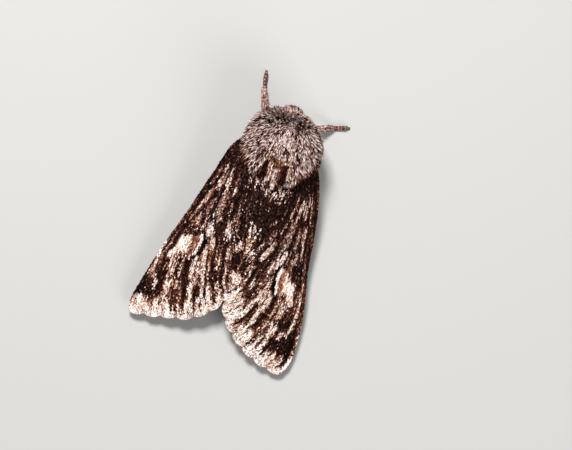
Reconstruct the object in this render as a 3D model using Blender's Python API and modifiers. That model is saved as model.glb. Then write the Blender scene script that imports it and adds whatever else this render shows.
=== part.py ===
"""A Rannoch sprawler moth, Brachionycha nubeculosa, at rest with its wings roofed over its body.

Metres, +Z up, head toward -Y, the moth's left toward +X. The origin is under the middle of the
bounding box, on the floor. Lengths below are millimetres in the moth's own frame, where x = 0 is
the middle of the body and y = 0 is the notch in which the two inner wing margins end.
"""

import math

import bmesh
import bpy
import numpy as np
from mathutils import Matrix, Vector

MM = 0.001
# Where the moth's own frame sits in the part's frame, so that the bounding box is centred.
FRAME_X = -0.60
FRAME_Y = 9.10

GAP = 0.10
WING_THICK = 0.50
WING_TILES_ALONG = 17
WING_TILES_ACROSS = 11
# How the roof of the wings bends from the ridge down to the front margin.
ROOF_POWER = 1.7
FUR_SIDES = 22
FUR_RINGS = 15
HEAD_SIDES = 20
HEAD_RINGS = 9
ABDOMEN_SIDES = 18
ABDOMEN_RINGS = 12
EYE_SEGMENTS = 16
CAPE_SEGMENTS = 20
SHARP_ANGLE = math.radians(50)
# How far a loft's end is domed, as a share of the last section's half width.
END_DOME = 0.22
# How much closer together a loft's rings lie toward its two ends, where the form turns most.
RING_CROWDING = 0.55

# Height of the roof over the ridge and over the front margins, at stations along the body.
RIDGE_STATIONS = (-18.0, -12.0, -8.2, -5.8, -0.5, 3.0, 7.0)
RIDGE_HEIGHTS = (7.5, 7.3, 6.9, 6.1, 4.3, 3.0, 2.0)
EDGE_STATIONS = (-18.0, -16.5, -12.4, -6.8, -3.0, 1.7, 4.1, 7.0)
EDGE_HEIGHTS = (5.2, 4.8, 3.6, 2.4, 1.95, 1.55, 1.35, 1.25)
# The line in which the inner margins of the folded wings meet, seen from above.
MEETING_STATIONS = (-18.0, -8.2, 0.0, 8.0)
MEETING_OFFSETS = (-0.60, -0.06, 0.40, 0.85)

# Margins of the folded forewings as (x, y): front margin from the root, outer margin from the
# notch to the tip. The left wing is opened a little wider than the right one.
FRONT_MARGIN = {
    "l": ((4.2, -17.6), (5.15, -16.4), (6.35, -12.4), (7.75, -6.8), (8.8, -3.1), (9.9, 1.7),
          (10.28, 4.1), (10.15, 5.45)),
    "r": ((-4.0, -17.4), (-4.95, -15.9), (-5.9, -13.4), (-6.95, -9.1), (-7.6, -4.9),
          (-8.6, -0.8), (-9.0, 2.6), (-9.05, 4.3), (-8.75, 5.9), (-8.15, 6.8)),
}
OUTER_MARGIN = {
    "l": ((0.47, 0.05), (0.98, 1.1), (1.7, 2.35), (2.75, 3.35), (3.8, 4.05), (5.5, 4.55),
          (8.0, 5.15), (10.15, 5.45)),
    "r": ((0.37, 0.1), (0.1, 1.0), (-0.4, 2.5), (-1.8, 4.15), (-3.7, 5.5), (-5.9, 6.4),
          (-8.15, 6.8)),
}
# Stations of the hindwing's front margin, and its outer and inner margins. The outer margin's x
# is a share of the tip's.
HINDWING_FRONT_Y = (-13.6, -10.0, -6.0, -2.0, 0.8, 2.3)
HINDWING_INSET = 0.85
HINDWING_OUTER = ((0.14, -2.3), (0.26, -0.2), (0.46, 1.6), (0.70, 2.7), (0.90, 2.9))
HINDWING_INNER = ((3.2, -13.0), (1.9, -10.5), (1.3, -7.0), (1.2, -4.5))
HINDWING_TILES_ALONG = 10
HINDWING_TILES_ACROSS = 8
WING_SPACE = 0.16
# The distance over which the roof's slope is measured.
SLOPE_STEP = 0.05

ROOT_X = 1.5
ROOT_Y = -15.0
MEETING_Y = -11.6
INNER_POINTS = 13

# Furred thorax: y, half width, height of the widest line, rise above it, drop below it.
THORAX_STATIONS = (
    (-21.92, 1.30, 6.00, 0.50, 0.50),
    (-21.70, 2.05, 5.85, 0.95, 0.80),
    (-21.20, 2.90, 5.65, 1.55, 1.30),
    (-20.50, 3.65, 5.40, 2.25, 2.05),
    (-19.40, 4.40, 5.10, 3.05, 3.15),
    (-17.60, 4.82, 4.90, 3.75, 3.90),
    (-15.60, 4.72, 4.90, 4.20, 3.95),
    (-13.90, 4.00, 4.80, 4.15, 3.75),
    (-12.50, 2.90, 4.70, 3.70, 3.40),
    (-11.60, 2.00, 4.65, 3.10, 2.95),
    (-11.00, 1.15, 4.75, 2.45, 2.35),
)
HEAD_STATIONS = (
    (-21.95, 0.60, 3.85, 0.60, 0.65),
    (-21.65, 1.10, 3.95, 1.05, 1.10),
    (-21.15, 1.45, 4.05, 1.40, 1.45),
    (-20.50, 1.60, 4.10, 1.50, 1.55),
    (-19.80, 1.50, 4.10, 1.40, 1.50),
    (-19.10, 1.15, 4.05, 1.05, 1.15),
)
ABDOMEN_STATIONS = (
    (-11.35, 1.90, 3.60, 1.70, 2.20),
    (-10.20, 2.30, 3.40, 1.85, 2.30),
    (-8.00, 2.45, 3.15, 1.80, 2.20),
    (-5.80, 2.30, 2.85, 1.50, 1.95),
    (-3.80, 1.85, 2.50, 1.20, 1.55),
    (-2.30, 1.20, 2.20, 0.85, 1.05),
    (-1.50, 0.60, 2.05, 0.45, 0.55),
)
SECTION_POWER = 2.2

EYE_CENTRE = (1.40, -20.85, 3.90)
EYE_RADIUS = 0.82
# The hollow under the collar that leaves both eyes free.
EYE_ROOM_CENTRE = (0.0, -20.85, 3.90)
EYE_ROOM_RADII = (2.55, 1.35, 1.25)
PALP_PATH = ((0.48, -20.80, 2.40), (0.52, -21.25, 2.35), (0.54, -21.62, 2.60), (0.52, -21.74, 3.05))
PALP_RADII = (0.34, 0.42, 0.36, 0.22)
ANTENNA_PATH = (
    (0.80, -21.35, 5.05), (1.50, -21.45, 5.05), (2.35, -20.95, 4.60), (3.20, -19.95, 3.80),
    (3.90, -18.50, 3.05), (4.35, -16.60, 2.60), (4.70, -14.40, 2.25), (5.00, -12.20, 1.95),
)
ANTENNA_RADII = (0.28, 0.30, 0.38, 0.44, 0.44, 0.40, 0.34, 0.26)

# Each leg as (x, y, z, radius) from the body to the claws. Every foot ends in the same low tube.
FOOT_RADIUS = 0.28
FOOT_HEIGHT = 0.22
LEGS = {
    "foreleg_l": ((1.00, -18.90, 1.60, 0.66), (2.20, -20.10, 1.90, 0.54), (2.90, -20.75, 1.75, 0.47),
                  (3.30, -21.80, 1.15, 0.43), (3.58, -22.55, 0.70, 0.36), (3.70, -23.00, 0.32, 0.29),
                  (3.90, -23.90, FOOT_HEIGHT, FOOT_RADIUS), (4.05, -24.60, FOOT_HEIGHT, 0.27),
                  (4.12, -24.95, 0.20, 0.13)),
    "foreleg_r": ((-1.00, -18.90, 1.60, 0.66), (-2.20, -20.00, 1.95, 0.54), (-3.10, -20.55, 1.75, 0.47),
                  (-3.90, -20.95, 1.25, 0.43), (-4.60, -21.25, 0.70, 0.36), (-5.00, -21.40, 0.32, 0.29),
                  (-5.75, -21.65, FOOT_HEIGHT, FOOT_RADIUS), (-6.40, -21.88, FOOT_HEIGHT, 0.27),
                  (-6.72, -21.98, 0.20, 0.13)),
    "midleg_l": ((1.30, -16.60, 1.50, 0.75), (2.60, -16.10, 1.75, 0.66), (3.60, -15.60, 1.70, 0.56),
                 (4.40, -14.70, 1.15, 0.50), (4.95, -13.80, 0.62, 0.38), (5.15, -13.30, 0.32, 0.28),
                 (5.45, -12.20, FOOT_HEIGHT, FOOT_RADIUS), (5.66, -11.30, FOOT_HEIGHT, 0.26),
                 (5.74, -10.95, 0.20, 0.13)),
    "hindleg_l": ((1.10, -13.60, 1.40, 0.72), (2.20, -12.60, 1.70, 0.64), (3.20, -11.40, 1.75, 0.54),
                  (3.90, -9.60, 1.25, 0.50), (4.45, -7.90, 0.66, 0.38), (4.60, -7.30, 0.32, 0.28),
                  (5.00, -5.70, FOOT_HEIGHT, FOOT_RADIUS), (5.30, -4.50, FOOT_HEIGHT, 0.26),
                  (5.38, -4.15, 0.20, 0.13)),
}

# The cape of fur over each shoulder, cut from the thorax by an ellipsoid.
TEGULA_CENTRE = (3.35, -16.9, 7.0)
TEGULA_RADII = (2.35, 4.1, 3.0)
# The collar is the part of the thorax ahead of a leaning plane.
COLLAR_TOP_Y = -19.6
COLLAR_TOP_Z = 8.0
COLLAR_LEAN = 0.25
# Reach of the cutting boxes, and how far the one under the floor goes down.
WORK_SIZE = 30.0
UNDER_FLOOR = 2.0

COLOURS = {
    "fur": (0.118, 0.082, 0.072),
    "wing": (0.105, 0.072, 0.062),
    "pale": (0.350, 0.270, 0.220),
    "leg": (0.250, 0.150, 0.125),
    "eye": (0.012, 0.009, 0.008),
    "antenna": (0.240, 0.160, 0.110),
}
COAT_ROUGHNESS = 0.85
EYE_ROUGHNESS = 0.15


def clear_scene():
    for obj in list(bpy.data.objects):
        bpy.data.objects.remove(obj, do_unlink=True)


def new_collection(name, helper=False):
    made = bpy.data.collections.new(name)
    bpy.context.scene.collection.children.link(made)
    made.hide_render = helper
    return made


def material(name, colour, roughness):
    made = bpy.data.materials.new(name)
    made.use_nodes = True
    shader = made.node_tree.nodes["Principled BSDF"]
    shader.inputs["Base Color"].default_value = (*colour, 1.0)
    shader.inputs["Roughness"].default_value = roughness
    shader.inputs["Metallic"].default_value = 0.0
    return made


def smooth_through(stations, values, at):
    """A smooth curve through the values, read at one place or at many."""
    stations = np.asarray(stations, float)
    values = np.asarray(values, float)
    slopes = np.gradient(values, stations)
    at = np.clip(at, stations[0], stations[-1])
    cell = np.clip(np.searchsorted(stations, at) - 1, 0, len(stations) - 2)
    width = stations[cell + 1] - stations[cell]
    t = (at - stations[cell]) / width
    start = (1 + 2 * t) * (1 - t) ** 2 * values[cell] + t * (1 - t) ** 2 * width * slopes[cell]
    end = t * t * (3 - 2 * t) * values[cell + 1] + t * t * (t - 1) * width * slopes[cell + 1]
    return start + end


def along(points, fractions):
    """Places at the given fractions of the length of a smooth line through the points."""
    points = np.asarray(points, float)
    steps = np.linalg.norm(np.diff(points, axis=0), axis=1)
    reached = np.concatenate([[0.0], np.cumsum(steps)])
    at = np.asarray(fractions, float) * reached[-1]
    return np.stack([smooth_through(reached, column, at) for column in points.T], axis=-1)


def mesh_object(name, points, faces, look, collection):
    """A mesh in the part's frame from points given in the moth's own millimetres."""
    mesh = bpy.data.meshes.new(name)
    mesh.from_pydata([Vector(point) * MM for point in points], [], faces)
    mesh.update()
    obj = bpy.data.objects.new(name, mesh)
    obj.location = (FRAME_X * MM, FRAME_Y * MM, 0.0)
    collection.objects.link(obj)
    if look:
        mesh.materials.append(look)
    shade_soft(obj)
    return obj


def shade_soft(obj):
    obj.data.shade_smooth()
    obj.data.set_sharp_from_angle(angle=SHARP_ANGLE)


def ring(station, sides, grow):
    """One closed section: a soft oval whose upper and lower halves have their own heights."""
    y, half_width, middle, rise, drop = station
    ring_points = []
    for step in range(sides):
        angle = math.tau * step / sides
        across = math.copysign(abs(math.cos(angle)) ** (2 / SECTION_POWER), math.cos(angle))
        up = math.copysign(abs(math.sin(angle)) ** (2 / SECTION_POWER), math.sin(angle))
        height = (rise if up > 0 else drop) + grow
        ring_points.append(((half_width + grow) * across, y, middle + height * up))
    return ring_points


def loft(name, stations, sides, rings, look, collection, grow=0.0):
    """A closed body through soft ovals along Y, with a domed end before the first and last."""
    stations = np.asarray(stations, float)
    middle, half = (stations[0, 0] + stations[-1, 0]) / 2, (stations[-1, 0] - stations[0, 0]) / 2
    spread = np.linspace(-1.0, 1.0, rings)
    crowded = np.sin(spread * math.pi / 2)
    where = middle + half * ((1 - RING_CROWDING) * spread + RING_CROWDING * crowded)
    columns = [smooth_through(stations[:, 0], stations[:, column], where) for column in range(5)]
    columns[0] = where
    points = []
    for station in zip(*columns):
        points += ring(station, sides, grow)
    first, last = stations[0], stations[-1]
    ends = (
        (0.0, first[0] - END_DOME * first[1] - grow, first[2]),
        (0.0, last[0] + END_DOME * last[1] + grow, last[2]),
    )
    points += ends
    faces = []
    for row in range(rings - 1):
        for step in range(sides):
            after = (step + 1) % sides
            low, high = row * sides, (row + 1) * sides
            faces.append((low + step, low + after, high + after, high + step))
    front, back = len(points) - 2, len(points) - 1
    top = (rings - 1) * sides
    for step in range(sides):
        after = (step + 1) % sides
        faces.append((front, after, step))
        faces.append((back, top + step, top + after))
    obj = mesh_object(name, points, faces, look, collection)
    point_outward(obj)
    return obj


def point_outward(obj):
    work = bmesh.new()
    work.from_mesh(obj.data)
    bmesh.ops.recalc_face_normals(work, faces=work.faces)
    work.to_mesh(obj.data)
    work.free()


def ellipsoid(name, centre, radii, segments, look, collection, grow=0.0):
    work = bmesh.new()
    bmesh.ops.create_uvsphere(work, u_segments=segments, v_segments=segments // 2 + 1, radius=1.0)
    sizes = Matrix.Diagonal([(radius + grow) * MM for radius in radii] + [1.0])
    place = Matrix.Translation(Vector(centre) * MM)
    bmesh.ops.transform(work, matrix=place @ sizes, verts=work.verts)
    mesh = bpy.data.meshes.new(name)
    work.to_mesh(mesh)
    work.free()
    obj = bpy.data.objects.new(name, mesh)
    obj.location = (FRAME_X * MM, FRAME_Y * MM, 0.0)
    collection.objects.link(obj)
    if look:
        mesh.materials.append(look)
    shade_soft(obj)
    return obj


def tube(name, path, radii, look, collection, grow=0.0, steps=3):
    """A bent tube with rounded taper: a bevelled curve, made a mesh so that it can be cut."""
    fractions = np.linspace(0.0, 1.0, (len(path) - 1) * steps + 1)
    places = along(path, fractions)
    reached = np.concatenate([[0.0], np.cumsum(np.linalg.norm(np.diff(path, axis=0), axis=1))])
    thick = smooth_through(reached, radii, fractions * reached[-1])
    curve = bpy.data.curves.new(name, "CURVE")
    curve.dimensions = "3D"
    curve.bevel_depth = MM
    curve.bevel_resolution = 2
    curve.use_fill_caps = True
    spline = curve.splines.new("POLY")
    spline.points.add(len(places) - 1)
    for point, place, radius in zip(spline.points, places, thick):
        point.co = (*(Vector(place) * MM), 1.0)
        point.radius = radius + grow
    shape = bpy.data.objects.new(name + "_line", curve)
    shape.location = (FRAME_X * MM, FRAME_Y * MM, 0.0)
    bpy.context.scene.collection.objects.link(shape)
    return meshed(shape, name, look, collection)


def meshed(shape, name, look, collection):
    """The curve object as a mesh object, with its caps welded on."""
    graph = bpy.context.evaluated_depsgraph_get()
    graph.update()
    mesh = bpy.data.meshes.new_from_object(shape.evaluated_get(graph))
    work = bmesh.new()
    work.from_mesh(mesh)
    bmesh.ops.remove_doubles(work, verts=work.verts, dist=1e-7)
    bmesh.ops.recalc_face_normals(work, faces=work.faces)
    work.to_mesh(mesh)
    work.free()
    obj = bpy.data.objects.new(name, mesh)
    obj.matrix_world = shape.matrix_world.copy()
    collection.objects.link(obj)
    mesh.materials.clear()
    if look:
        mesh.materials.append(look)
    bpy.data.objects.remove(shape, do_unlink=True)
    shade_soft(obj)
    return obj


def roof_height(x, y, side):
    """Height of the upper wing surface over a place on the floor."""
    ridge = smooth_through(RIDGE_STATIONS, RIDGE_HEIGHTS, y)
    edge = smooth_through(EDGE_STATIONS, EDGE_HEIGHTS, y)
    meeting = smooth_through(MEETING_STATIONS, MEETING_OFFSETS, y)
    front = np.asarray(FRONT_MARGIN[side])
    reach = smooth_through(front[:, 1], front[:, 0], y)
    across = np.clip(np.abs(x - meeting) / np.abs(reach - meeting), 0.0, 1.2)
    return edge + (ridge - edge) * (1.0 - across ** ROOF_POWER)


def patch(root, outer, inner, front, across, lengthways):
    """Points between four margins. Inner and front run from root to outer margin."""
    u = np.linspace(0.0, 1.0, across + 1)
    v = np.linspace(0.0, 1.0, lengthways + 1)
    low, high = along(root, u)[None], along(outer, u)[None]
    left, right = along(inner, v)[:, None], along(front, v)[:, None]
    u, v = u[None, :, None], v[:, None, None]
    corners = (
        (1 - u) * (1 - v) * low[:, :1] + u * (1 - v) * low[:, -1:]
        + (1 - u) * v * high[:, :1] + u * v * high[:, -1:]
    )
    return (1 - v) * low + v * high + (1 - u) * left + u * right - corners


def grid_faces(rows, columns, flip):
    faces = []
    for row in range(rows):
        for column in range(columns):
            a = row * (columns + 1) + column
            face = (a, a + 1, a + columns + 2, a + columns + 1)
            faces.append(face[::-1] if flip else face)
    return faces


def inner_margin(side, end):
    """The inner margin: along the meeting line, and curving off to the wing's root beside the thorax."""
    sign = 1.0 if side == "l" else -1.0
    line = []
    for y in np.linspace(ROOT_Y, end[1], INNER_POINTS):
        parting = max(0.0, (MEETING_Y - y) / (MEETING_Y - ROOT_Y))
        x = smooth_through(MEETING_STATIONS, MEETING_OFFSETS, y) + sign * (GAP / 2 + ROOT_X * parting ** 2)
        line.append((float(x), y))
    return tuple(line[:-1]) + (end,)


def forewing_sheet(side):
    """Plan of the folded forewing with the roof's height: rows from root to outer margin."""
    front = FRONT_MARGIN[side]
    outer = OUTER_MARGIN[side]
    inner = inner_margin(side, outer[0])
    root = (inner[0], front[0])
    plan = patch(root, outer, inner, front, WING_TILES_ACROSS, WING_TILES_ALONG)
    heights = roof_height(plan[..., 0], plan[..., 1], side)
    return np.concatenate([plan, heights[..., None]], axis=-1)


def wing(name, sheet, look, collection):
    """A closed wing of even thickness below a sheet of points."""
    rows, columns = sheet.shape[0] - 1, sheet.shape[1] - 1
    first = Vector(sheet[0, 1] - sheet[0, 0]).cross(Vector(sheet[1, 0] - sheet[0, 0]))
    faces = grid_faces(rows, columns, first.z < 0)
    obj = mesh_object(name, sheet.reshape(-1, 3), faces, look, collection)
    solidify = obj.modifiers.new("thickness", "SOLIDIFY")
    solidify.thickness = WING_THICK * MM
    solidify.offset = -1.0
    return obj


def hindwing_sheet(side):
    """The folded hindwing, close under the forewing: its margins are set in from the forewing's."""
    sign = 1.0 if side == "l" else -1.0
    forewing = np.asarray(FRONT_MARGIN[side])
    reach = [float(smooth_through(forewing[:, 1], forewing[:, 0], y)) for y in HINDWING_FRONT_Y]
    front = tuple((x - sign * HINDWING_INSET, y) for x, y in zip(reach, HINDWING_FRONT_Y))
    tip = front[-1]
    outer = tuple((sign * part * abs(tip[0]), y) for part, y in HINDWING_OUTER) + (tip,)
    inner = tuple((sign * x, y) for x, y in HINDWING_INNER) + (outer[0],)
    plan = patch((inner[0], front[0]), outer, inner, front, HINDWING_TILES_ACROSS, HINDWING_TILES_ALONG)
    x, y = plan[..., 0], plan[..., 1]
    step = SLOPE_STEP
    along_x = (roof_height(x + step, y, side) - roof_height(x - step, y, side)) / (2 * step)
    along_y = (roof_height(x, y + step, side) - roof_height(x, y - step, side)) / (2 * step)
    slope = np.sqrt(1.0 + along_x ** 2 + along_y ** 2)
    heights = roof_height(x, y, side) - (WING_THICK + WING_SPACE) * slope
    return np.concatenate([plan, heights[..., None]], axis=-1)


def cut(obj, cutter, operation="DIFFERENCE"):
    modifier = obj.modifiers.new(operation.lower(), "BOOLEAN")
    modifier.operation = operation
    modifier.solver = "EXACT"
    modifier.object = cutter


def as_cutter(obj):
    obj.hide_render = True
    obj.display_type = "WIRE"
    return obj


def box(name, low, high, collection, lean=0.0):
    """A box between two corners, whose Y faces may lean with height."""
    work = bmesh.new()
    bmesh.ops.create_cube(work, size=1.0)
    size = Vector(high) - Vector(low)
    middle = (Vector(high) + Vector(low)) / 2
    for vert in work.verts:
        vert.co = Vector(a * b for a, b in zip(vert.co, size)) + middle
        vert.co.y -= lean * vert.co.z
        vert.co *= MM
    mesh = bpy.data.meshes.new(name)
    work.to_mesh(mesh)
    work.free()
    obj = bpy.data.objects.new(name, mesh)
    obj.location = (FRAME_X * MM, FRAME_Y * MM, 0.0)
    collection.objects.link(obj)
    return as_cutter(obj)


def mirrored(points):
    return tuple((-point[0], *point[1:]) for point in points)


def build_head(parts, tools, looks):
    head = loft("head", HEAD_STATIONS, HEAD_SIDES, HEAD_RINGS, looks["fur"], parts)
    for side, sign in (("l", 1.0), ("r", -1.0)):
        centre = (sign * EYE_CENTRE[0], *EYE_CENTRE[1:])
        eye_size = (EYE_RADIUS, EYE_RADIUS, EYE_RADIUS)
        ellipsoid(f"eye_{side}", centre, eye_size, EYE_SEGMENTS, looks["eye"], parts)
        socket = ellipsoid(f"socket_{side}", centre, eye_size, EYE_SEGMENTS, None, tools, GAP)
        cut(head, as_cutter(socket))
        path = PALP_PATH if sign > 0 else mirrored(PALP_PATH)
        tube(f"palp_{side}", path, PALP_RADII, looks["leg"], parts, steps=2)
        cut(head, as_cutter(tube(f"palp_room_{side}", path, PALP_RADII, None, tools, GAP, steps=2)))
        path = ANTENNA_PATH if sign > 0 else mirrored(ANTENNA_PATH)
        tube(f"antenna_{side}", path, ANTENNA_RADII, looks["antenna"], parts, steps=2)
        room = tube(f"antenna_room_{side}", path, ANTENNA_RADII, None, tools, GAP, steps=2)
        cut(head, as_cutter(room))


def build_thorax(parts, tools, looks):
    """The furred dome, parted into the collar, the two shoulder capes and the thorax itself."""
    pieces = {
        name: loft(name, THORAX_STATIONS, FUR_SIDES, FUR_RINGS, looks["fur"], parts)
        for name in ("collar", "thorax", "tegula_l", "tegula_r")
    }
    back_y = COLLAR_TOP_Y + COLLAR_LEAN * COLLAR_TOP_Z
    low = (-WORK_SIZE, -WORK_SIZE * 2, -WORK_SIZE)
    front = box("front_half", low, (WORK_SIZE, back_y, WORK_SIZE), tools, COLLAR_LEAN)
    front_wide = box("front_half_wide", low, (WORK_SIZE, back_y + GAP, WORK_SIZE), tools, COLLAR_LEAN)
    cut(pieces["collar"], front, "INTERSECT")
    cut(pieces["thorax"], front_wide)
    for side, sign in (("l", 1.0), ("r", -1.0)):
        centre = (sign * TEGULA_CENTRE[0], *TEGULA_CENTRE[1:])
        name = f"tegula_{side}"
        inside = as_cutter(ellipsoid(f"cape_{side}", centre, TEGULA_RADII, CAPE_SEGMENTS, None, tools))
        around = as_cutter(
            ellipsoid(f"cape_room_{side}", centre, TEGULA_RADII, CAPE_SEGMENTS, None, tools, GAP)
        )
        cut(pieces[name], inside, "INTERSECT")
        cut(pieces[name], front_wide)
        cut(pieces["thorax"], around)
    head_room = as_cutter(loft("head_room", HEAD_STATIONS, HEAD_SIDES, HEAD_RINGS, None, tools, GAP))
    eye_room = ellipsoid("eye_room", EYE_ROOM_CENTRE, EYE_ROOM_RADII, CAPE_SEGMENTS, None, tools)
    cut(pieces["collar"], as_cutter(eye_room))
    cut(pieces["collar"], head_room)
    for side in "lr":
        cut(pieces["collar"], bpy.data.objects[f"antenna_room_{side}"])
        cut(pieces["thorax"], bpy.data.objects[f"antenna_room_{side}"])


def build_abdomen(parts, tools, looks):
    body_room = as_cutter(loft("thorax_room", THORAX_STATIONS, FUR_SIDES, FUR_RINGS, None, tools, GAP))
    abdomen = loft("abdomen", ABDOMEN_STATIONS, ABDOMEN_SIDES, ABDOMEN_RINGS, looks["fur"], parts)
    cut(abdomen, body_room)


def build_wings(parts, tools, looks):
    body_room = bpy.data.objects["thorax_room"]
    for side in "lr":
        forewing = wing(f"forewing_{side}", forewing_sheet(side), looks["wing"], parts)
        hindwing = wing(f"hindwing_{side}", hindwing_sheet(side), looks["pale"], parts)
        cut(forewing, body_room)
        cut(hindwing, body_room)


def build_legs(parts, tools, looks):
    body_room = bpy.data.objects["thorax_room"]
    low = (-WORK_SIZE, -WORK_SIZE * 2, -UNDER_FLOOR)
    floor = box("under_floor", low, (WORK_SIZE, WORK_SIZE, 0.0), tools)
    legs = dict(LEGS)
    legs["midleg_r"] = mirrored(LEGS["midleg_l"])
    legs["hindleg_r"] = mirrored(LEGS["hindleg_l"])
    for name, path in legs.items():
        places = [point[:3] for point in path]
        radii = [point[3] for point in path]
        leg = tube(name, places, radii, looks["leg"], parts, steps=2)
        cut(leg, body_room)
        cut(leg, floor)


def build():
    clear_scene()
    parts = new_collection("rannoch_sprawler")
    tools = new_collection("cutters", helper=True)
    looks = {
        name: material(name, colour, EYE_ROUGHNESS if name == "eye" else COAT_ROUGHNESS)
        for name, colour in COLOURS.items()
    }
    build_head(parts, tools, looks)
    build_thorax(parts, tools, looks)
    build_abdomen(parts, tools, looks)
    build_wings(parts, tools, looks)
    build_legs(parts, tools, looks)


build()
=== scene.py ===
import math
from collections import namedtuple

import bmesh
import bpy
import numpy as np
from mathutils import Matrix, Vector
from mathutils.kdtree import KDTree


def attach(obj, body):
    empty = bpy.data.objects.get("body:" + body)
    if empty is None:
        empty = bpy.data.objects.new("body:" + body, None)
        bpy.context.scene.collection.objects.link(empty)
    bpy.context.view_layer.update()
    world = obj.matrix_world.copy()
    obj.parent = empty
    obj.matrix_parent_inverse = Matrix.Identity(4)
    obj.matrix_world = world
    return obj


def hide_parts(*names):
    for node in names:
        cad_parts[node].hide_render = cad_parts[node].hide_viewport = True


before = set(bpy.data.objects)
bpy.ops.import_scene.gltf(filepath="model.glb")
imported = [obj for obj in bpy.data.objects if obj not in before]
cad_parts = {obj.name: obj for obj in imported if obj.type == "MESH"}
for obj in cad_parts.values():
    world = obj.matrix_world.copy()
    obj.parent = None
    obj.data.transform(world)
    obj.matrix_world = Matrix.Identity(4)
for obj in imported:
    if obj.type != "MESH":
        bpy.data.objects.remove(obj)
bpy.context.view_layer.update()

# Lengths are millimetres in the moth's own frame: x = 0 is the middle of the body, +x its left,
# y = 0 the notch between the wings, -y the head. SHIFT moves that frame into the part's frame.
MM = 0.001
SHIFT = np.array([-0.60, 9.10, 0.0])
UP = np.array([0.0, 0.0, 1.0])
SIGN = {"l": 1.0, "r": -1.0}

# ---- Shape, as in the solids
RIDGE_STATIONS = (-18.0, -12.0, -8.2, -5.8, -0.5, 3.0, 7.0)
RIDGE_HEIGHTS = (7.5, 7.3, 6.9, 6.1, 4.3, 3.0, 2.0)
EDGE_STATIONS = (-18.0, -16.5, -12.4, -6.8, -3.0, 1.7, 4.1, 7.0)
EDGE_HEIGHTS = (5.2, 4.8, 3.6, 2.4, 1.95, 1.55, 1.35, 1.25)
MEETING_STATIONS = (-18.0, -8.2, 0.0, 8.0)
MEETING_OFFSETS = (-0.60, -0.06, 0.40, 0.85)
ROOF_POWER = 1.7
GAP = 0.10
FRONT_MARGIN = {
    "l": ((4.2, -17.6), (5.15, -16.4), (6.35, -12.4), (7.75, -6.8), (8.8, -3.1), (9.9, 1.7),
          (10.28, 4.1), (10.15, 5.45)),
    "r": ((-4.0, -17.4), (-4.95, -15.9), (-5.9, -13.4), (-6.95, -9.1), (-7.6, -4.9),
          (-8.6, -0.8), (-9.0, 2.6), (-9.05, 4.3), (-8.75, 5.9), (-8.15, 6.8)),
}
OUTER_MARGIN = {
    "l": ((0.47, 0.05), (0.98, 1.1), (1.7, 2.35), (2.75, 3.35), (3.8, 4.05), (5.5, 4.55),
          (8.0, 5.15), (10.15, 5.45)),
    "r": ((0.37, 0.1), (0.1, 1.0), (-0.4, 2.5), (-1.8, 4.15), (-3.7, 5.5), (-5.9, 6.4),
          (-8.15, 6.8)),
}
HINDWING_FRONT_Y = (-13.6, -10.0, -6.0, -2.0, 0.8, 2.3)
HINDWING_INSET = 0.85
HINDWING_OUTER = ((0.14, -2.3), (0.26, -0.2), (0.46, 1.6), (0.70, 2.7), (0.90, 2.9))
HINDWING_INNER = ((3.2, -13.0), (1.9, -10.5), (1.3, -7.0), (1.2, -4.5))
ROOT_X = 1.5
ROOT_Y = -15.0
MEETING_Y = -11.6
INNER_POINTS = 13
# A station of a body form is (y, half width, height of its middle, rise above, drop below).
THORAX_STATIONS = (
    (-21.92, 1.30, 6.00, 0.50, 0.50), (-21.70, 2.05, 5.85, 0.95, 0.80),
    (-21.20, 2.90, 5.65, 1.55, 1.30), (-20.50, 3.65, 5.40, 2.25, 2.05),
    (-19.40, 4.40, 5.10, 3.05, 3.15), (-17.60, 4.82, 4.90, 3.75, 3.90),
    (-15.60, 4.72, 4.90, 4.20, 3.95), (-13.90, 4.00, 4.80, 4.15, 3.75),
    (-12.50, 2.90, 4.70, 3.70, 3.40), (-11.60, 2.00, 4.65, 3.10, 2.95),
    (-11.00, 1.15, 4.75, 2.45, 2.35),
)
HEAD_STATIONS = (
    (-21.95, 0.60, 3.85, 0.60, 0.65), (-21.65, 1.10, 3.95, 1.05, 1.10),
    (-21.15, 1.45, 4.05, 1.40, 1.45), (-20.50, 1.60, 4.10, 1.50, 1.55),
    (-19.80, 1.50, 4.10, 1.40, 1.50), (-19.10, 1.15, 4.05, 1.05, 1.15),
)
ABDOMEN_STATIONS = (
    (-11.35, 1.90, 3.60, 1.70, 2.20), (-10.20, 2.30, 3.40, 1.85, 2.30),
    (-8.00, 2.45, 3.15, 1.80, 2.20), (-5.80, 2.30, 2.85, 1.50, 1.95),
    (-3.80, 1.85, 2.50, 1.20, 1.55), (-2.30, 1.20, 2.20, 0.85, 1.05),
    (-1.50, 0.60, 2.05, 0.45, 0.55),
)
SECTION_POWER = 2.2
EYE_CENTRE = (1.40, -20.85, 3.90)
EYE_RADIUS = 0.82
PALP_PATH = ((0.48, -20.80, 2.40), (0.52, -21.25, 2.35), (0.54, -21.62, 2.60), (0.52, -21.74, 3.05))
PALP_RADII = (0.34, 0.42, 0.36, 0.22)
ANTENNA_PATH = (
    (0.80, -21.35, 5.05), (1.50, -21.45, 5.05), (2.35, -20.95, 4.60), (3.20, -19.95, 3.80),
    (3.90, -18.50, 3.05), (4.35, -16.60, 2.60), (4.70, -14.40, 2.25), (5.00, -12.20, 1.95),
)
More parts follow.
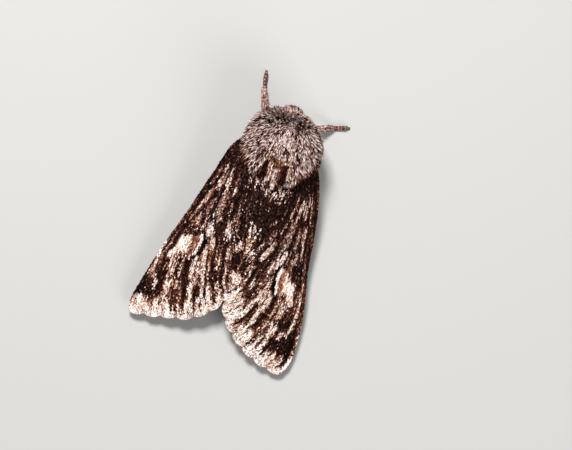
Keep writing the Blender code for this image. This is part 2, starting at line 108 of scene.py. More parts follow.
# Each leg's points from hip to foot are (x, y, z, radius). The hinder right legs mirror the left.
LEGS = {
    "foreleg_l": ((1.00, -18.90, 1.60, 0.66), (2.20, -20.10, 1.90, 0.54), (2.90, -20.75, 1.75, 0.47),
                  (3.30, -21.80, 1.15, 0.43), (3.58, -22.55, 0.70, 0.36), (3.70, -23.00, 0.32, 0.29),
                  (3.90, -23.90, 0.22, 0.28), (4.05, -24.60, 0.22, 0.27), (4.12, -24.95, 0.20, 0.13)),
    "foreleg_r": ((-1.00, -18.90, 1.60, 0.66), (-2.20, -20.00, 1.95, 0.54), (-3.10, -20.55, 1.75, 0.47),
                  (-3.90, -20.95, 1.25, 0.43), (-4.60, -21.25, 0.70, 0.36), (-5.00, -21.40, 0.32, 0.29),
                  (-5.75, -21.65, 0.22, 0.28), (-6.40, -21.88, 0.22, 0.27), (-6.72, -21.98, 0.20, 0.13)),
    "midleg_l": ((1.30, -16.60, 1.50, 0.75), (2.60, -16.10, 1.75, 0.66), (3.60, -15.60, 1.70, 0.56),
                 (4.40, -14.70, 1.15, 0.50), (4.95, -13.80, 0.62, 0.38), (5.15, -13.30, 0.32, 0.28),
                 (5.45, -12.20, 0.22, 0.28), (5.66, -11.30, 0.22, 0.26), (5.74, -10.95, 0.20, 0.13)),
    "hindleg_l": ((1.10, -13.60, 1.40, 0.72), (2.20, -12.60, 1.70, 0.64), (3.20, -11.40, 1.75, 0.54),
                  (3.90, -9.60, 1.25, 0.50), (4.45, -7.90, 0.66, 0.38), (4.60, -7.30, 0.32, 0.28),
                  (5.00, -5.70, 0.22, 0.28), (5.30, -4.50, 0.22, 0.26), (5.38, -4.15, 0.20, 0.13)),
}
for leg_name in ("midleg", "hindleg"):
    LEGS[leg_name + "_r"] = tuple((-point[0], *point[1:]) for point in LEGS[leg_name + "_l"])
# The points of a leg's path where its foot begins and its spurs stand.
FOOT_POINT = 5
SPUR_POINT = 4

# ---- Depths of the coat, and the sheets of the wings
LEG_COAT = 0.14
PALP_COAT = 0.10
WING_COAT = 0.13
MEMBRANE = 0.14
FOREWING_GRID = (430, 190)
HINDWING_GRID = (215, 95)
HINDWING_DROP = 0.66
# The fringe starts at this share of the way from the wing's root to its outer margin.
FRINGE_START = 0.980


# ---- Small mathematics
def smooth_through(stations, values, at):
    """A smooth curve through the values, read at one place or at many."""
    stations = np.asarray(stations, float)
    values = np.asarray(values, float)
    slopes = np.gradient(values, stations)
    at = np.clip(at, stations[0], stations[-1])
    cell = np.clip(np.searchsorted(stations, at) - 1, 0, len(stations) - 2)
    width = stations[cell + 1] - stations[cell]
    t = (at - stations[cell]) / width
    start = (1 + 2 * t) * (1 - t) ** 2 * values[cell] + t * (1 - t) ** 2 * width * slopes[cell]
    end = t * t * (3 - 2 * t) * values[cell + 1] + t * t * (t - 1) * width * slopes[cell + 1]
    return start + end


def path_lengths(points):
    """How long a path is up to each of its points."""
    return np.concatenate([[0.0], np.cumsum(np.linalg.norm(np.diff(points, axis=0), axis=1))])


def along(points, fractions):
    """Places on a smooth curve through the points, at shares of its length."""
    points = np.asarray(points, float)
    reached = path_lengths(points)
    at = np.asarray(fractions, float) * reached[-1]
    return np.stack([smooth_through(reached, column, at) for column in points.T], axis=-1)


def step_between(value, low, high):
    """0 below low, 1 above high, and a smooth step from one to the other."""
    t = np.clip((value - low) / (high - low), 0.0, 1.0)
    return t * t * (3 - 2 * t)


def blend(first, second, share):
    return first * (1 - share) + second * share


def bell(distance, width):
    """1 at no distance, falling away smoothly over the width."""
    return np.exp(-(distance / width) ** 2)


def unit(vectors):
    return vectors / np.maximum(np.linalg.norm(vectors, axis=-1, keepdims=True), 1e-12)


def rotated(forward, side, angle):
    """Each forward direction turned toward its side by an angle."""
    angle = angle[:, None]
    return unit(forward * np.cos(angle) + side * np.sin(angle))


def distance_to_line(x, y, places, stretch=1.0):
    """The distance to the nearest part of a line through the places, with x stretched."""
    nearest = np.inf
    for (ax, ay), (bx, by) in zip(places[:-1], places[1:]):
        px, py = (x - ax) * stretch, y - ay
        dx, dy = (bx - ax) * stretch, by - ay
        t = np.clip((px * dx + py * dy) / (dx * dx + dy * dy), 0.0, 1.0)
        nearest = np.minimum(nearest, np.hypot(px - t * dx, py - t * dy))
    return nearest


def lattice_value(i, j, k, seed):
    """A repeatable random number from 0 to 1 at each lattice point, by a hash of its place."""
    mixed = (i.astype(np.int64) * 374761393 + j.astype(np.int64) * 668265263
             + k.astype(np.int64) * 1442695041 + seed * 974634777) & 0xFFFFFFFF
    mixed = ((mixed ^ (mixed >> 13)) * 1274126177) & 0xFFFFFFFF
    mixed = (mixed ^ (mixed >> 16)) & 0xFFFFFF
    return mixed / float(0xFFFFFF)


def noise(x, y, z=0.0, seed=0):
    """Smooth noise from 0 to 1, with one bump to a unit."""
    x, y, z = np.broadcast_arrays(*(np.asarray(axis, float) for axis in (x, y, z)))
    i, j, k = np.floor(x), np.floor(y), np.floor(z)
    fx, fy, fz = (f * f * (3 - 2 * f) for f in (x - i, y - j, z - k))
    total = 0.0
    for di in (0, 1):
        for dj in (0, 1):
            for dk in (0, 1):
                weight = (fx if di else 1 - fx) * (fy if dj else 1 - fy) * (fz if dk else 1 - fz)
                total = total + weight * lattice_value(i + di, j + dj, k + dk, seed)
    return total


def ripple(x, y, z=0.0, seed=0):
    """Smooth noise from -0.5 to 0.5."""
    return noise(x, y, z, seed) - 0.5


# ---- Meshes from arrays
def paint(mesh, colours):
    """Gives each vertex its colour, in the layer that the materials read."""
    rgba = np.ones((len(mesh.vertices), 4), np.float32)
    rgba[:, :3] = colours
    mesh.color_attributes.new("Col", "FLOAT_COLOR", "POINT").data.foreach_set("color", rgba.ravel())


def make_object(name, points, faces, material=None, colours=None, uv=None):
    """A smooth mesh object from points in moth millimetres and faces of three or four corners."""
    points = (np.asarray(points, float) + SHIFT) * MM
    faces = np.asarray(faces, np.int32)
    count, corners = faces.shape
    mesh = bpy.data.meshes.new(name)
    mesh.vertices.add(len(points))
    mesh.vertices.foreach_set("co", points.astype(np.float32).ravel())
    mesh.loops.add(faces.size)
    mesh.loops.foreach_set("vertex_index", faces.ravel())
    mesh.polygons.add(count)
    mesh.polygons.foreach_set("loop_start", np.arange(0, faces.size, corners, dtype=np.int32))
    mesh.polygons.foreach_set("loop_total", np.full(count, corners, np.int32))
    mesh.polygons.foreach_set("use_smooth", np.ones(count, bool))
    if colours is not None:
        paint(mesh, colours)
    if uv is not None:
        layer = mesh.uv_layers.new(name="OFBake")
        layer.data.foreach_set("uv", np.asarray(uv, np.float32)[faces.ravel()].ravel())
    mesh.update()
    mesh.validate()
    if material is not None:
        mesh.materials.append(material)
    obj = bpy.data.objects.new(name, mesh)
    bpy.context.scene.collection.objects.link(obj)
    return obj


def add_piece(piece, slot, *replaced):
    """Fixes a piece to the part, in place of the nodes that it replaces."""
    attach(piece, "root")
    if replaced:
        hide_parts(*replaced)


def grid_quads(rows, columns, flip=False):
    index = np.arange(rows * columns).reshape(rows, columns)
    quads = np.stack([index[:-1, :-1], index[:-1, 1:], index[1:, 1:], index[1:, :-1]], -1).reshape(-1, 4)
    return quads[:, ::-1] if flip else quads


# ---- Materials
COAT_IOR = 1.12
BUMP_DEPTH = 0.02 * MM
# The coat's grain makes its colour this much darker or lighter.
GRAIN_SPAN = (0.78, 1.22)


def new_material(name, roughness, specular):
    made = bpy.data.materials.new(name)
    made.use_nodes = True
    shader = made.node_tree.nodes["Principled BSDF"]
    shader.inputs["Roughness"].default_value = roughness
    shader.inputs["Specular IOR Level"].default_value = specular
    return made, shader


def grain_output(tree, scale, detail):
    """Fine procedural noise, fixed to the surface."""
    place = tree.nodes.new("ShaderNodeTexCoord")
    grain = tree.nodes.new("ShaderNodeTexNoise")
    grain.inputs["Scale"].default_value = scale
    grain.inputs["Detail"].default_value = detail
    tree.links.new(place.outputs["Object"], grain.inputs["Vector"])
    return grain.outputs["Fac"]


def coat_material(name, roughness, grain_scale, bump_strength, specular):
    """Colour from the mesh's own markings, broken up by a fine procedural grain."""
    made, shader = new_material(name, roughness, specular)
    shader.inputs["IOR"].default_value = COAT_IOR
    tree = made.node_tree
    nodes, links = tree.nodes, tree.links
    attribute = nodes.new("ShaderNodeVertexColor")
    attribute.layer_name = "Col"
    grain = grain_output(tree, grain_scale, 3.0)
    bright = nodes.new("ShaderNodeMapRange")
    bright.inputs["To Min"].default_value, bright.inputs["To Max"].default_value = GRAIN_SPAN
    links.new(grain, bright.inputs["Value"])
    grained = nodes.new("ShaderNodeVectorMath")
    grained.operation = "SCALE"
    links.new(attribute.outputs["Color"], grained.inputs[0])
    links.new(bright.outputs["Result"], grained.inputs["Scale"])
    links.new(grained.outputs["Vector"], shader.inputs["Base Color"])
    bump = nodes.new("ShaderNodeBump")
    bump.inputs["Strength"].default_value = bump_strength
    bump.inputs["Distance"].default_value = BUMP_DEPTH
    links.new(grain, bump.inputs["Height"])
    links.new(bump.outputs["Normal"], shader.inputs["Normal"])
    return made


def clouded_material(name, colour, darker, roughness, grain_scale, specular):
    """A lens: an even colour, clouded by a fine procedural grain."""
    made, shader = new_material(name, roughness, specular)
    tree = made.node_tree
    cloud = tree.nodes.new("ShaderNodeValToRGB")
    for stop, position, shade in zip(cloud.color_ramp.elements, (0.35, 0.68), (darker, colour)):
        stop.position = position
        stop.color = (*shade, 1.0)
    tree.links.new(grain_output(tree, grain_scale, 4.0), cloud.inputs["Fac"])
    tree.links.new(cloud.outputs["Color"], shader.inputs["Base Color"])
    return made


scale_look = coat_material("wing_scales", 0.70, 9000.0, 0.15, specular=0.30)
membrane_look = coat_material("wing_membrane", 0.70, 7000.0, 0.5, specular=0.40)
fur_look = coat_material("fur", 0.80, 6000.0, 0.2, specular=0.40)
skin_look = coat_material("body_skin", 0.85, 4000.0, 0.6, specular=0.30)
horn_look = coat_material("horn", 0.45, 5000.0, 0.3, specular=0.80)
eye_look = clouded_material("eye", (0.034, 0.019, 0.012), (0.010, 0.006, 0.005), 0.24, 1500.0, 0.20)


# ---- Surfaces that a coat can be laid on
class Surface:
    """A grid of points that can be read at any place, with v along it and w across, from 0 to 1."""

    def __init__(self, points, normals):
        self.points, self.normals = points, normals
        self.rows, self.columns = points.shape[:2]
        self.lengthways = unit(np.gradient(points, axis=0))

    def read(self, field, v, w):
        a = np.clip(v, 0, 1) * (self.rows - 1)
        b = np.clip(w, 0, 1) * (self.columns - 1)
        i = np.clip(a.astype(int), 0, self.rows - 2)
        j = np.clip(b.astype(int), 0, self.columns - 2)
        a, b = (a - i)[..., None], (b - j)[..., None]
        return (field[i, j] * (1 - a) * (1 - b) + field[i + 1, j] * a * (1 - b)
                + field[i, j + 1] * (1 - a) * b + field[i + 1, j + 1] * a * b)

    def at(self, v, w):
        return self.read(self.points, v, w)

    def normal_at(self, v, w):
        return unit(self.read(self.normals, v, w))

    def span(self, v, w):
        """The straight distance between two places."""
        first, last = self.at(np.array(v), np.array(w))
        return float(np.linalg.norm(last - first))


class Form(Surface):
    """A surface that closes round a middle line: rows run front to back, columns round it."""

    def __init__(self, points, centres):
        normals = cross_of_grid(points)
        normals[:, 0] = normals[:, -1] = unit(normals[:, 0] + normals[:, -1])
        out = points - centres[:, None]
        super().__init__(points, normals * np.sign(np.sum(normals * out, -1, keepdims=True) + 1e-9))
        self.ends = centres[0], centres[-1]

    def middle(self):
        return self.points[:, :-1].mean(axis=1)

    def scatter(self, count, rng, weight):
        """Even random places over the form, thinned where weight is below 1."""
        grid = self.points
        cells = np.cross(grid[1:, :-1] - grid[:-1, :-1], grid[:-1, 1:] - grid[:-1, :-1])
        middle = (grid[1:, 1:] + grid[:-1, :-1]) / 2
        shares = np.linalg.norm(cells, axis=-1) * weight(*np.moveaxis(middle, -1, 0))
        total = np.cumsum(shares.ravel())
        picks = (np.arange(count) + rng.random(count)) / count * total[-1]
        cell = np.minimum(np.searchsorted(total, picks), len(total) - 1)
        i, j = np.unravel_index(cell, shares.shape)
        v = (i + rng.random(count)) / (self.rows - 1)
        w = (j + rng.random(count)) / (self.columns - 1)
        return v, w

    def shell(self):
        """Points and three-cornered faces of the closed form."""
        ring = self.columns - 1
        points = np.concatenate([self.points[:, :-1].reshape(-1, 3), np.stack(self.ends)])
        step = np.arange(ring)
        after = (step + 1) % ring
        faces = []
        for low in range(0, (self.rows - 1) * ring, ring):
            high = low + ring
            faces.append(np.stack([low + step, low + after, high + after], -1))
            faces.append(np.stack([low + step, high + after, high + step], -1))
        front, back = len(points) - 2, len(points) - 1
        faces.append(np.stack([np.full(ring, front), after, step], -1))
        faces.append(np.stack([np.full(ring, back), high + step, high + after], -1))
        return points, np.concatenate(faces)


def cross_of_grid(points):
    return unit(np.cross(np.gradient(points, axis=0), np.gradient(points, axis=1)))


def everywhere(x, y, z):
    return 1.0


# ---- Outlines and heights of the wings
def roof_height(x, y, side):
    """The height of the wings' roof, from the ridge where they meet down to the front margins."""
    ridge = smooth_through(RIDGE_STATIONS, RIDGE_HEIGHTS, y)
    edge = smooth_through(EDGE_STATIONS, EDGE_HEIGHTS, y)
    meeting = smooth_through(MEETING_STATIONS, MEETING_OFFSETS, y)
    front = np.asarray(FRONT_MARGIN[side])
    reach = smooth_through(front[:, 1], front[:, 0], y)
    across = np.clip(np.abs(x - meeting) / np.abs(reach - meeting), 0.0, 1.2)
    return edge + (ridge - edge) * (1.0 - across ** ROOF_POWER)


def inner_margin(side, end):
    line = []
    for y in np.linspace(ROOT_Y, end[1], INNER_POINTS):
        parting = max(0.0, (MEETING_Y - y) / (MEETING_Y - ROOT_Y))
        meeting = smooth_through(MEETING_STATIONS, MEETING_OFFSETS, y)
        line.append((float(meeting + SIGN[side] * (GAP / 2 + ROOT_X * parting ** 2)), y))
    return tuple(line[:-1]) + (end,)


def patch(outer, inner, front, grid):
    """A smooth patch between the four margins of a wing, seen from above."""
    root = (inner[0], front[0])
    u, v = np.linspace(0.0, 1.0, grid[1]), np.linspace(0.0, 1.0, grid[0])
    low, high = along(root, u)[None], along(outer, u)[None]
    left, right = along(inner, v)[:, None], along(front, v)[:, None]
    u, v = u[None, :, None], v[:, None, None]
    corners = (
        (1 - u) * (1 - v) * low[:, :1] + u * (1 - v) * low[:, -1:]
        + (1 - u) * v * high[:, :1] + u * v * high[:, -1:]
    )
    return (1 - v) * low + v * high + (1 - u) * left + u * right - corners


def forewing_plan(side):
    outer = OUTER_MARGIN[side]
    plan = patch(outer, inner_margin(side, outer[0]), FRONT_MARGIN[side], FOREWING_GRID)
    heights = roof_height(plan[..., 0], plan[..., 1], side)
    return np.concatenate([plan, heights[..., None]], axis=-1)


def hindwing_plan(side):
    sign = SIGN[side]
    forewing = np.asarray(FRONT_MARGIN[side])
    reach = [float(smooth_through(forewing[:, 1], forewing[:, 0], y)) for y in HINDWING_FRONT_Y]
    front = tuple((x - sign * HINDWING_INSET, y) for x, y in zip(reach, HINDWING_FRONT_Y))
    tip = front[-1]
    outer = tuple((sign * part * abs(tip[0]), y) for part, y in HINDWING_OUTER) + (tip,)
    inner = tuple((sign * x, y) for x, y in HINDWING_INNER) + (outer[0],)
    plan = patch(outer, inner, front, HINDWING_GRID)
    x, y = plan[..., 0], plan[..., 1]
    step = 0.05
    along_x = (roof_height(x + step, y, side) - roof_height(x - step, y, side)) / (2 * step)
    along_y = (roof_height(x, y + step, side) - roof_height(x, y - step, side)) / (2 * step)
    slope = np.sqrt(1.0 + along_x ** 2 + along_y ** 2)
    heights = roof_height(x, y, side) - HINDWING_DROP * slope
    return np.concatenate([plan, heights[..., None]], axis=-1)


# ---- Veins, and the sheet and membrane of a wing
STREAK_STEPS = 14
VEIN_COUNT = 6.5
VEIN_HEIGHT = 0.035


def streak_slope(v, w):
    """How far the veins and streaks drift toward the inner margin for each step outward."""
    outer = (0.24 + 0.80 * w) * step_between(w, 0.0, 0.07)
    inner = np.clip(1.5 * w - 0.32, -0.30, 0.45)
    return blend(inner, outer, step_between(v, 0.40, 0.62))


def vein_line(v, w):
    """A number that stays the same along a streak: where that streak meets the outer margin."""
    v, w = np.broadcast_arrays(np.asarray(v, float), np.asarray(w, float))
    place, at = w.copy(), v.copy()
    step = (1.0 - v) / STREAK_STEPS
    for _ in range(STREAK_STEPS):
        place = place + streak_slope(at, place) * step
        at = at + step
    return place


def vein_phase(v, w):
    """0 on a vein and up to 0.5 half way between two."""
    line = vein_line(v, w) * VEIN_COUNT
    return np.abs(line - np.round(line))


def vein_relief(v, w):
    outside_root = step_between(v, 0.15, 0.5)
    return VEIN_HEIGHT * bell(vein_phase(v, w), 0.16) * outside_root * (1 - step_between(v, 0.93, 0.96))


def upward_normals(points):
    normals = cross_of_grid(points)
    return normals * np.where(normals[..., 2:] < 0, -1.0, 1.0)


def wing_sheet(plan):
    """The upper face of a wing's membrane: the solid's, less the coat's depth, with its veins."""
    points = plan[:, ::-1].copy()
    rows, columns = points.shape[:2]
    normals = upward_normals(points)
    points -= normals * WING_COAT
    v, w = np.linspace(0, 1, rows)[:, None], np.linspace(0, 1, columns)[None]
    points += normals * vein_relief(v, w)[..., None]
    return Surface(points, upward_normals(points))


def underside(sheet):
    return Surface(sheet.points - sheet.normals * MEMBRANE, -sheet.normals)


def wing_skin(name, sheet, side, colour_of, rows, columns):
    """The membrane: a closed thin shell with an upper and a lower face and thinner margins."""
    v = np.linspace(0.0, FRINGE_START, rows)[:, None] * np.ones((1, columns))
    w = np.ones((rows, 1)) * np.linspace(0.0, 1.0, columns)[None]
    top = sheet.at(v, w)
    rim_cells, rim_share = 3, 0.35
    edge = np.minimum(np.minimum(w, 1 - w) * columns / rim_cells, (FRINGE_START - v) * rows / rim_cells)
    thick = MEMBRANE * (rim_share + (1 - rim_share) * np.clip(edge, 0, 1))
    bottom = top - sheet.normal_at(v, w) * thick[..., None]
    points = np.concatenate([top.reshape(-1, 3), bottom.reshape(-1, 3)])
    flip = side == "l"
    under = rows * columns
    upper, lower = grid_quads(rows, columns, not flip), grid_quads(rows, columns, flip) + under
    index = np.arange(under).reshape(rows, columns)
    rim = np.concatenate([index[0, :-1], index[:-1, -1], index[-1, ::-1][:-1], index[::-1, 0][:-1]])
    after = np.roll(rim, -1)
    skirt = np.stack([rim, after, after + under, rim + under], -1)
    faces = np.concatenate([upper, lower, skirt[:, ::-1] if flip else skirt])
    colours = np.concatenate([colour_of(v.ravel(), w.ravel(), below) for below in (False, True)])
    return make_object(name, points, faces, membrane_look, colours)


# ---- The forewing's design
RAMP_TONES = (0.0, 0.14, 0.28, 0.42, 0.58, 0.75, 0.90, 1.0)
RAMP_COOL = (
    (0.0008, 0.0004, 0.0004), (0.0042, 0.0020, 0.0018), (0.025, 0.0106, 0.0092), (0.124, 0.055, 0.047),
    (0.300, 0.163, 0.136), (0.500, 0.358, 0.322), (0.740, 0.615, 0.570), (0.885, 0.820, 0.780),
)
RAMP_WARM = (
    (0.0012, 0.0004, 0.0003), (0.0080, 0.0023, 0.0014), (0.050, 0.0152, 0.0088), (0.184, 0.068, 0.039),
    (0.376, 0.162, 0.086), (0.590, 0.340, 0.224), (0.800, 0.605, 0.480), (0.895, 0.800, 0.715),
)

# Marks of the forewing in paint order, each (tone, warmth, half width, places). A place is
# (v, w): v from root 0 to outer margin 1, w from front margin 0 to inner margin 1.
BROAD_DARK = (
    (0.10, 0.5, 0.050, (0.09, 0.28), (0.19, 0.34)),
    (0.08, 0.3, 0.035, (0.12, 0.39), (0.20, 0.40)),
    (0.05, 0.2, 0.045, (0.12, 0.47), (0.22, 0.48), (0.30, 0.50), (0.37, 0.54)),
    (0.10, 0.5, 0.040, (0.28, 0.03), (0.31, 0.08)),
    (0.12, 0.5, 0.032, (0.28, 0.14), (0.315, 0.22)),
    (0.06, 0.4, 0.035, (0.285, 0.38), (0.31, 0.46), (0.35, 0.48)),
    (0.04, 0.2, 0.100, (0.25, 0.86), (0.38, 0.93)),
    (0.06, 0.3, 0.050, (0.30, 0.76), (0.38, 0.82)),
    (0.14, 0.6, 0.035, (0.51, 0.62), (0.57, 0.67)),
    (0.03, 0.2, 0.045, (0.63, 0.885), (0.68, 0.91), (0.745, 0.94)),
    (0.08, 0.6, 0.030, (0.60, 0.79), (0.67, 0.84), (0.75, 0.895)),
    (0.08, 0.7, 0.040, (0.69, 0.605), (0.75, 0.635), (0.80, 0.665)),
    (0.34, 1.0, 0.030, (0.80, 0.63), (0.84, 0.68)),
    (0.10, 0.7, 0.035, (0.60, 0.52), (0.655, 0.56)),
    (0.06, 0.8, 0.050, (0.67, 0.325), (0.75, 0.355), (0.82, 0.40), (0.89, 0.455)),
    (0.30, 1.0, 0.030, (0.80, 0.35), (0.86, 0.38), (0.91, 0.42)),
    (0.24, 0.9, 0.018, (0.66, 0.285), (0.73, 0.305), (0.80, 0.335)),
    (0.02, 0.4, 0.055, (0.825, 0.01), (0.905, 0.03)),
    (0.06, 0.7, 0.044, (0.81, 0.075), (0.905, 0.09)),
    (0.04, 0.6, 0.040, (0.78, 0.165), (0.85, 0.185), (0.905, 0.21)),
    (0.12, 0.7, 0.022, (0.69, 0.07), (0.77, 0.085)),
    (0.10, 0.6, 0.022, (0.53, 0.10), (0.55, 0.17), (0.545, 0.23)),
    (0.10, 0.7, 0.026, (0.745, 0.255), (0.795, 0.295)),
    (0.20, 0.9, 0.020, (0.64, 0.25), (0.74, 0.27)),
    (0.22, 0.9, 0.030, (0.50, 0.02), (0.62, 0.02)),
)
DARK_LINES = (
    (0.03, 0.4, 0.018, (0.10, 0.07), (0.16, 0.05)),
    (0.02, 0.3, 0.019, (0.10, 0.16), (0.165, 0.14)),
    (0.06, 0.6, 0.015, (0.12, 0.22), (0.18, 0.195)),
    (0.01, 0.1, 0.014, (0.22, 0.116), (0.29, 0.10), (0.34, 0.075), (0.45, 0.050)),
    (0.01, 0.1, 0.017, (0.235, 0.245), (0.27, 0.265), (0.33, 0.275), (0.43, 0.30), (0.465, 0.37)),
    (0.01, 0.1, 0.014, (0.465, 0.37), (0.48, 0.405), (0.52, 0.45), (0.56, 0.515), (0.60, 0.575)),
    (0.03, 0.4, 0.013, (0.25, 0.34), (0.31, 0.35)),
    (0.04, 0.4, 0.015, (0.34, 0.42), (0.40, 0.465), (0.46, 0.475)),
    (0.01, 0.2, 0.012, (0.335, 0.185), (0.38, 0.165), (0.42, 0.15), (0.47, 0.115)),
    (0.01, 0.2, 0.013, (0.45, 0.112), (0.49, 0.13), (0.505, 0.17)),
    (0.05, 0.6, 0.012, (0.44, 0.21), (0.50, 0.245)),
    (0.03, 0.4, 0.011, (0.45, 0.035), (0.56, 0.030), (0.66, 0.033)),
    (0.01, 0.2, 0.013, (0.48, 0.075), (0.55, 0.072), (0.61, 0.062)),
    (0.06, 0.6, 0.009, (0.60, 0.075), (0.66, 0.075), (0.73, 0.105)),
    (0.01, 0.1, 0.024, (0.17, 0.61), (0.22, 0.62), (0.28, 0.65), (0.32, 0.67)),
    (0.01, 0.1, 0.032, (0.33, 0.685), (0.42, 0.73), (0.50, 0.775), (0.56, 0.81)),
    (0.01, 0.3, 0.028, (0.28, 0.515), (0.365, 0.55)),
    (0.01, 0.2, 0.014, (0.52, 0.55), (0.58, 0.59), (0.62, 0.61), (0.66, 0.625)),
    (0.02, 0.4, 0.015, (0.53, 0.65), (0.60, 0.665), (0.64, 0.68)),
    (0.02, 0.4, 0.017, (0.62, 0.665), (0.69, 0.70), (0.75, 0.735), (0.81, 0.775), (0.855, 0.81)),
    (0.03, 0.5, 0.015, (0.55, 0.745), (0.62, 0.785), (0.69, 0.83)),
    (0.01, 0.2, 0.011, (0.735, 0.545), (0.775, 0.565)),
    (0.02, 0.4, 0.018, (0.815, 0.53), (0.85, 0.55)),
    (0.26, 0.9, 0.010, (0.79, 0.505), (0.82, 0.52)),
    (0.02, 0.4, 0.014, (0.665, 0.575), (0.70, 0.60), (0.72, 0.61)),
    (0.02, 0.5, 0.009, (0.82, 0.62), (0.875, 0.66)),
    (0.01, 0.3, 0.011, (0.75, 0.112), (0.81, 0.13)),
    (0.04, 0.6, 0.010, (0.72, 0.135), (0.79, 0.165)),
    (0.01, 0.3, 0.018, (0.785, 0.22), (0.805, 0.24)),
    (0.03, 0.5, 0.011, (0.84, 0.14), (0.90, 0.155), (0.955, 0.165)),
    (0.03, 0.4, 0.017, (0.650, 0.22), (0.668, 0.24)),
    (0.03, 0.4, 0.013, (0.672, 0.11), (0.684, 0.14)),
    (0.05, 0.7, 0.009, (0.84, 0.31), (0.89, 0.335), (0.94, 0.345)),
    (0.05, 0.7, 0.009, (0.90, 0.39), (0.965, 0.415)),
    (0.06, 0.8, 0.009, (0.90, 0.235), (0.955, 0.27)),
    (0.16, 0.8, 0.007, (0.88, 0.29), (0.94, 0.315)),
    (0.14, 0.8, 0.008, (0.89, 0.465), (0.95, 0.50)),
    (0.18, 0.8, 0.010, (0.88, 0.76), (0.93, 0.80)),
    (0.30, 0.9, 0.009, (0.90, 0.785), (0.95, 0.80)),
    (0.20, 0.8, 0.008, (0.80, 0.86), (0.86, 0.89)),
    (0.14, 0.7, 0.010, (0.845, 0.87), (0.89, 0.905)),
    (0.28, 0.8, 0.008, (0.81, 0.90), (0.875, 0.95)),
    (0.40, 0.9, 0.016, (0.915, 0.63), (0.955, 0.67)),
    (0.30, 0.9, 0.008, (0.86, 0.70), (0.93, 0.75)),
    (0.34, 0.9, 0.007, (0.90, 0.56), (0.96, 0.61)),
)
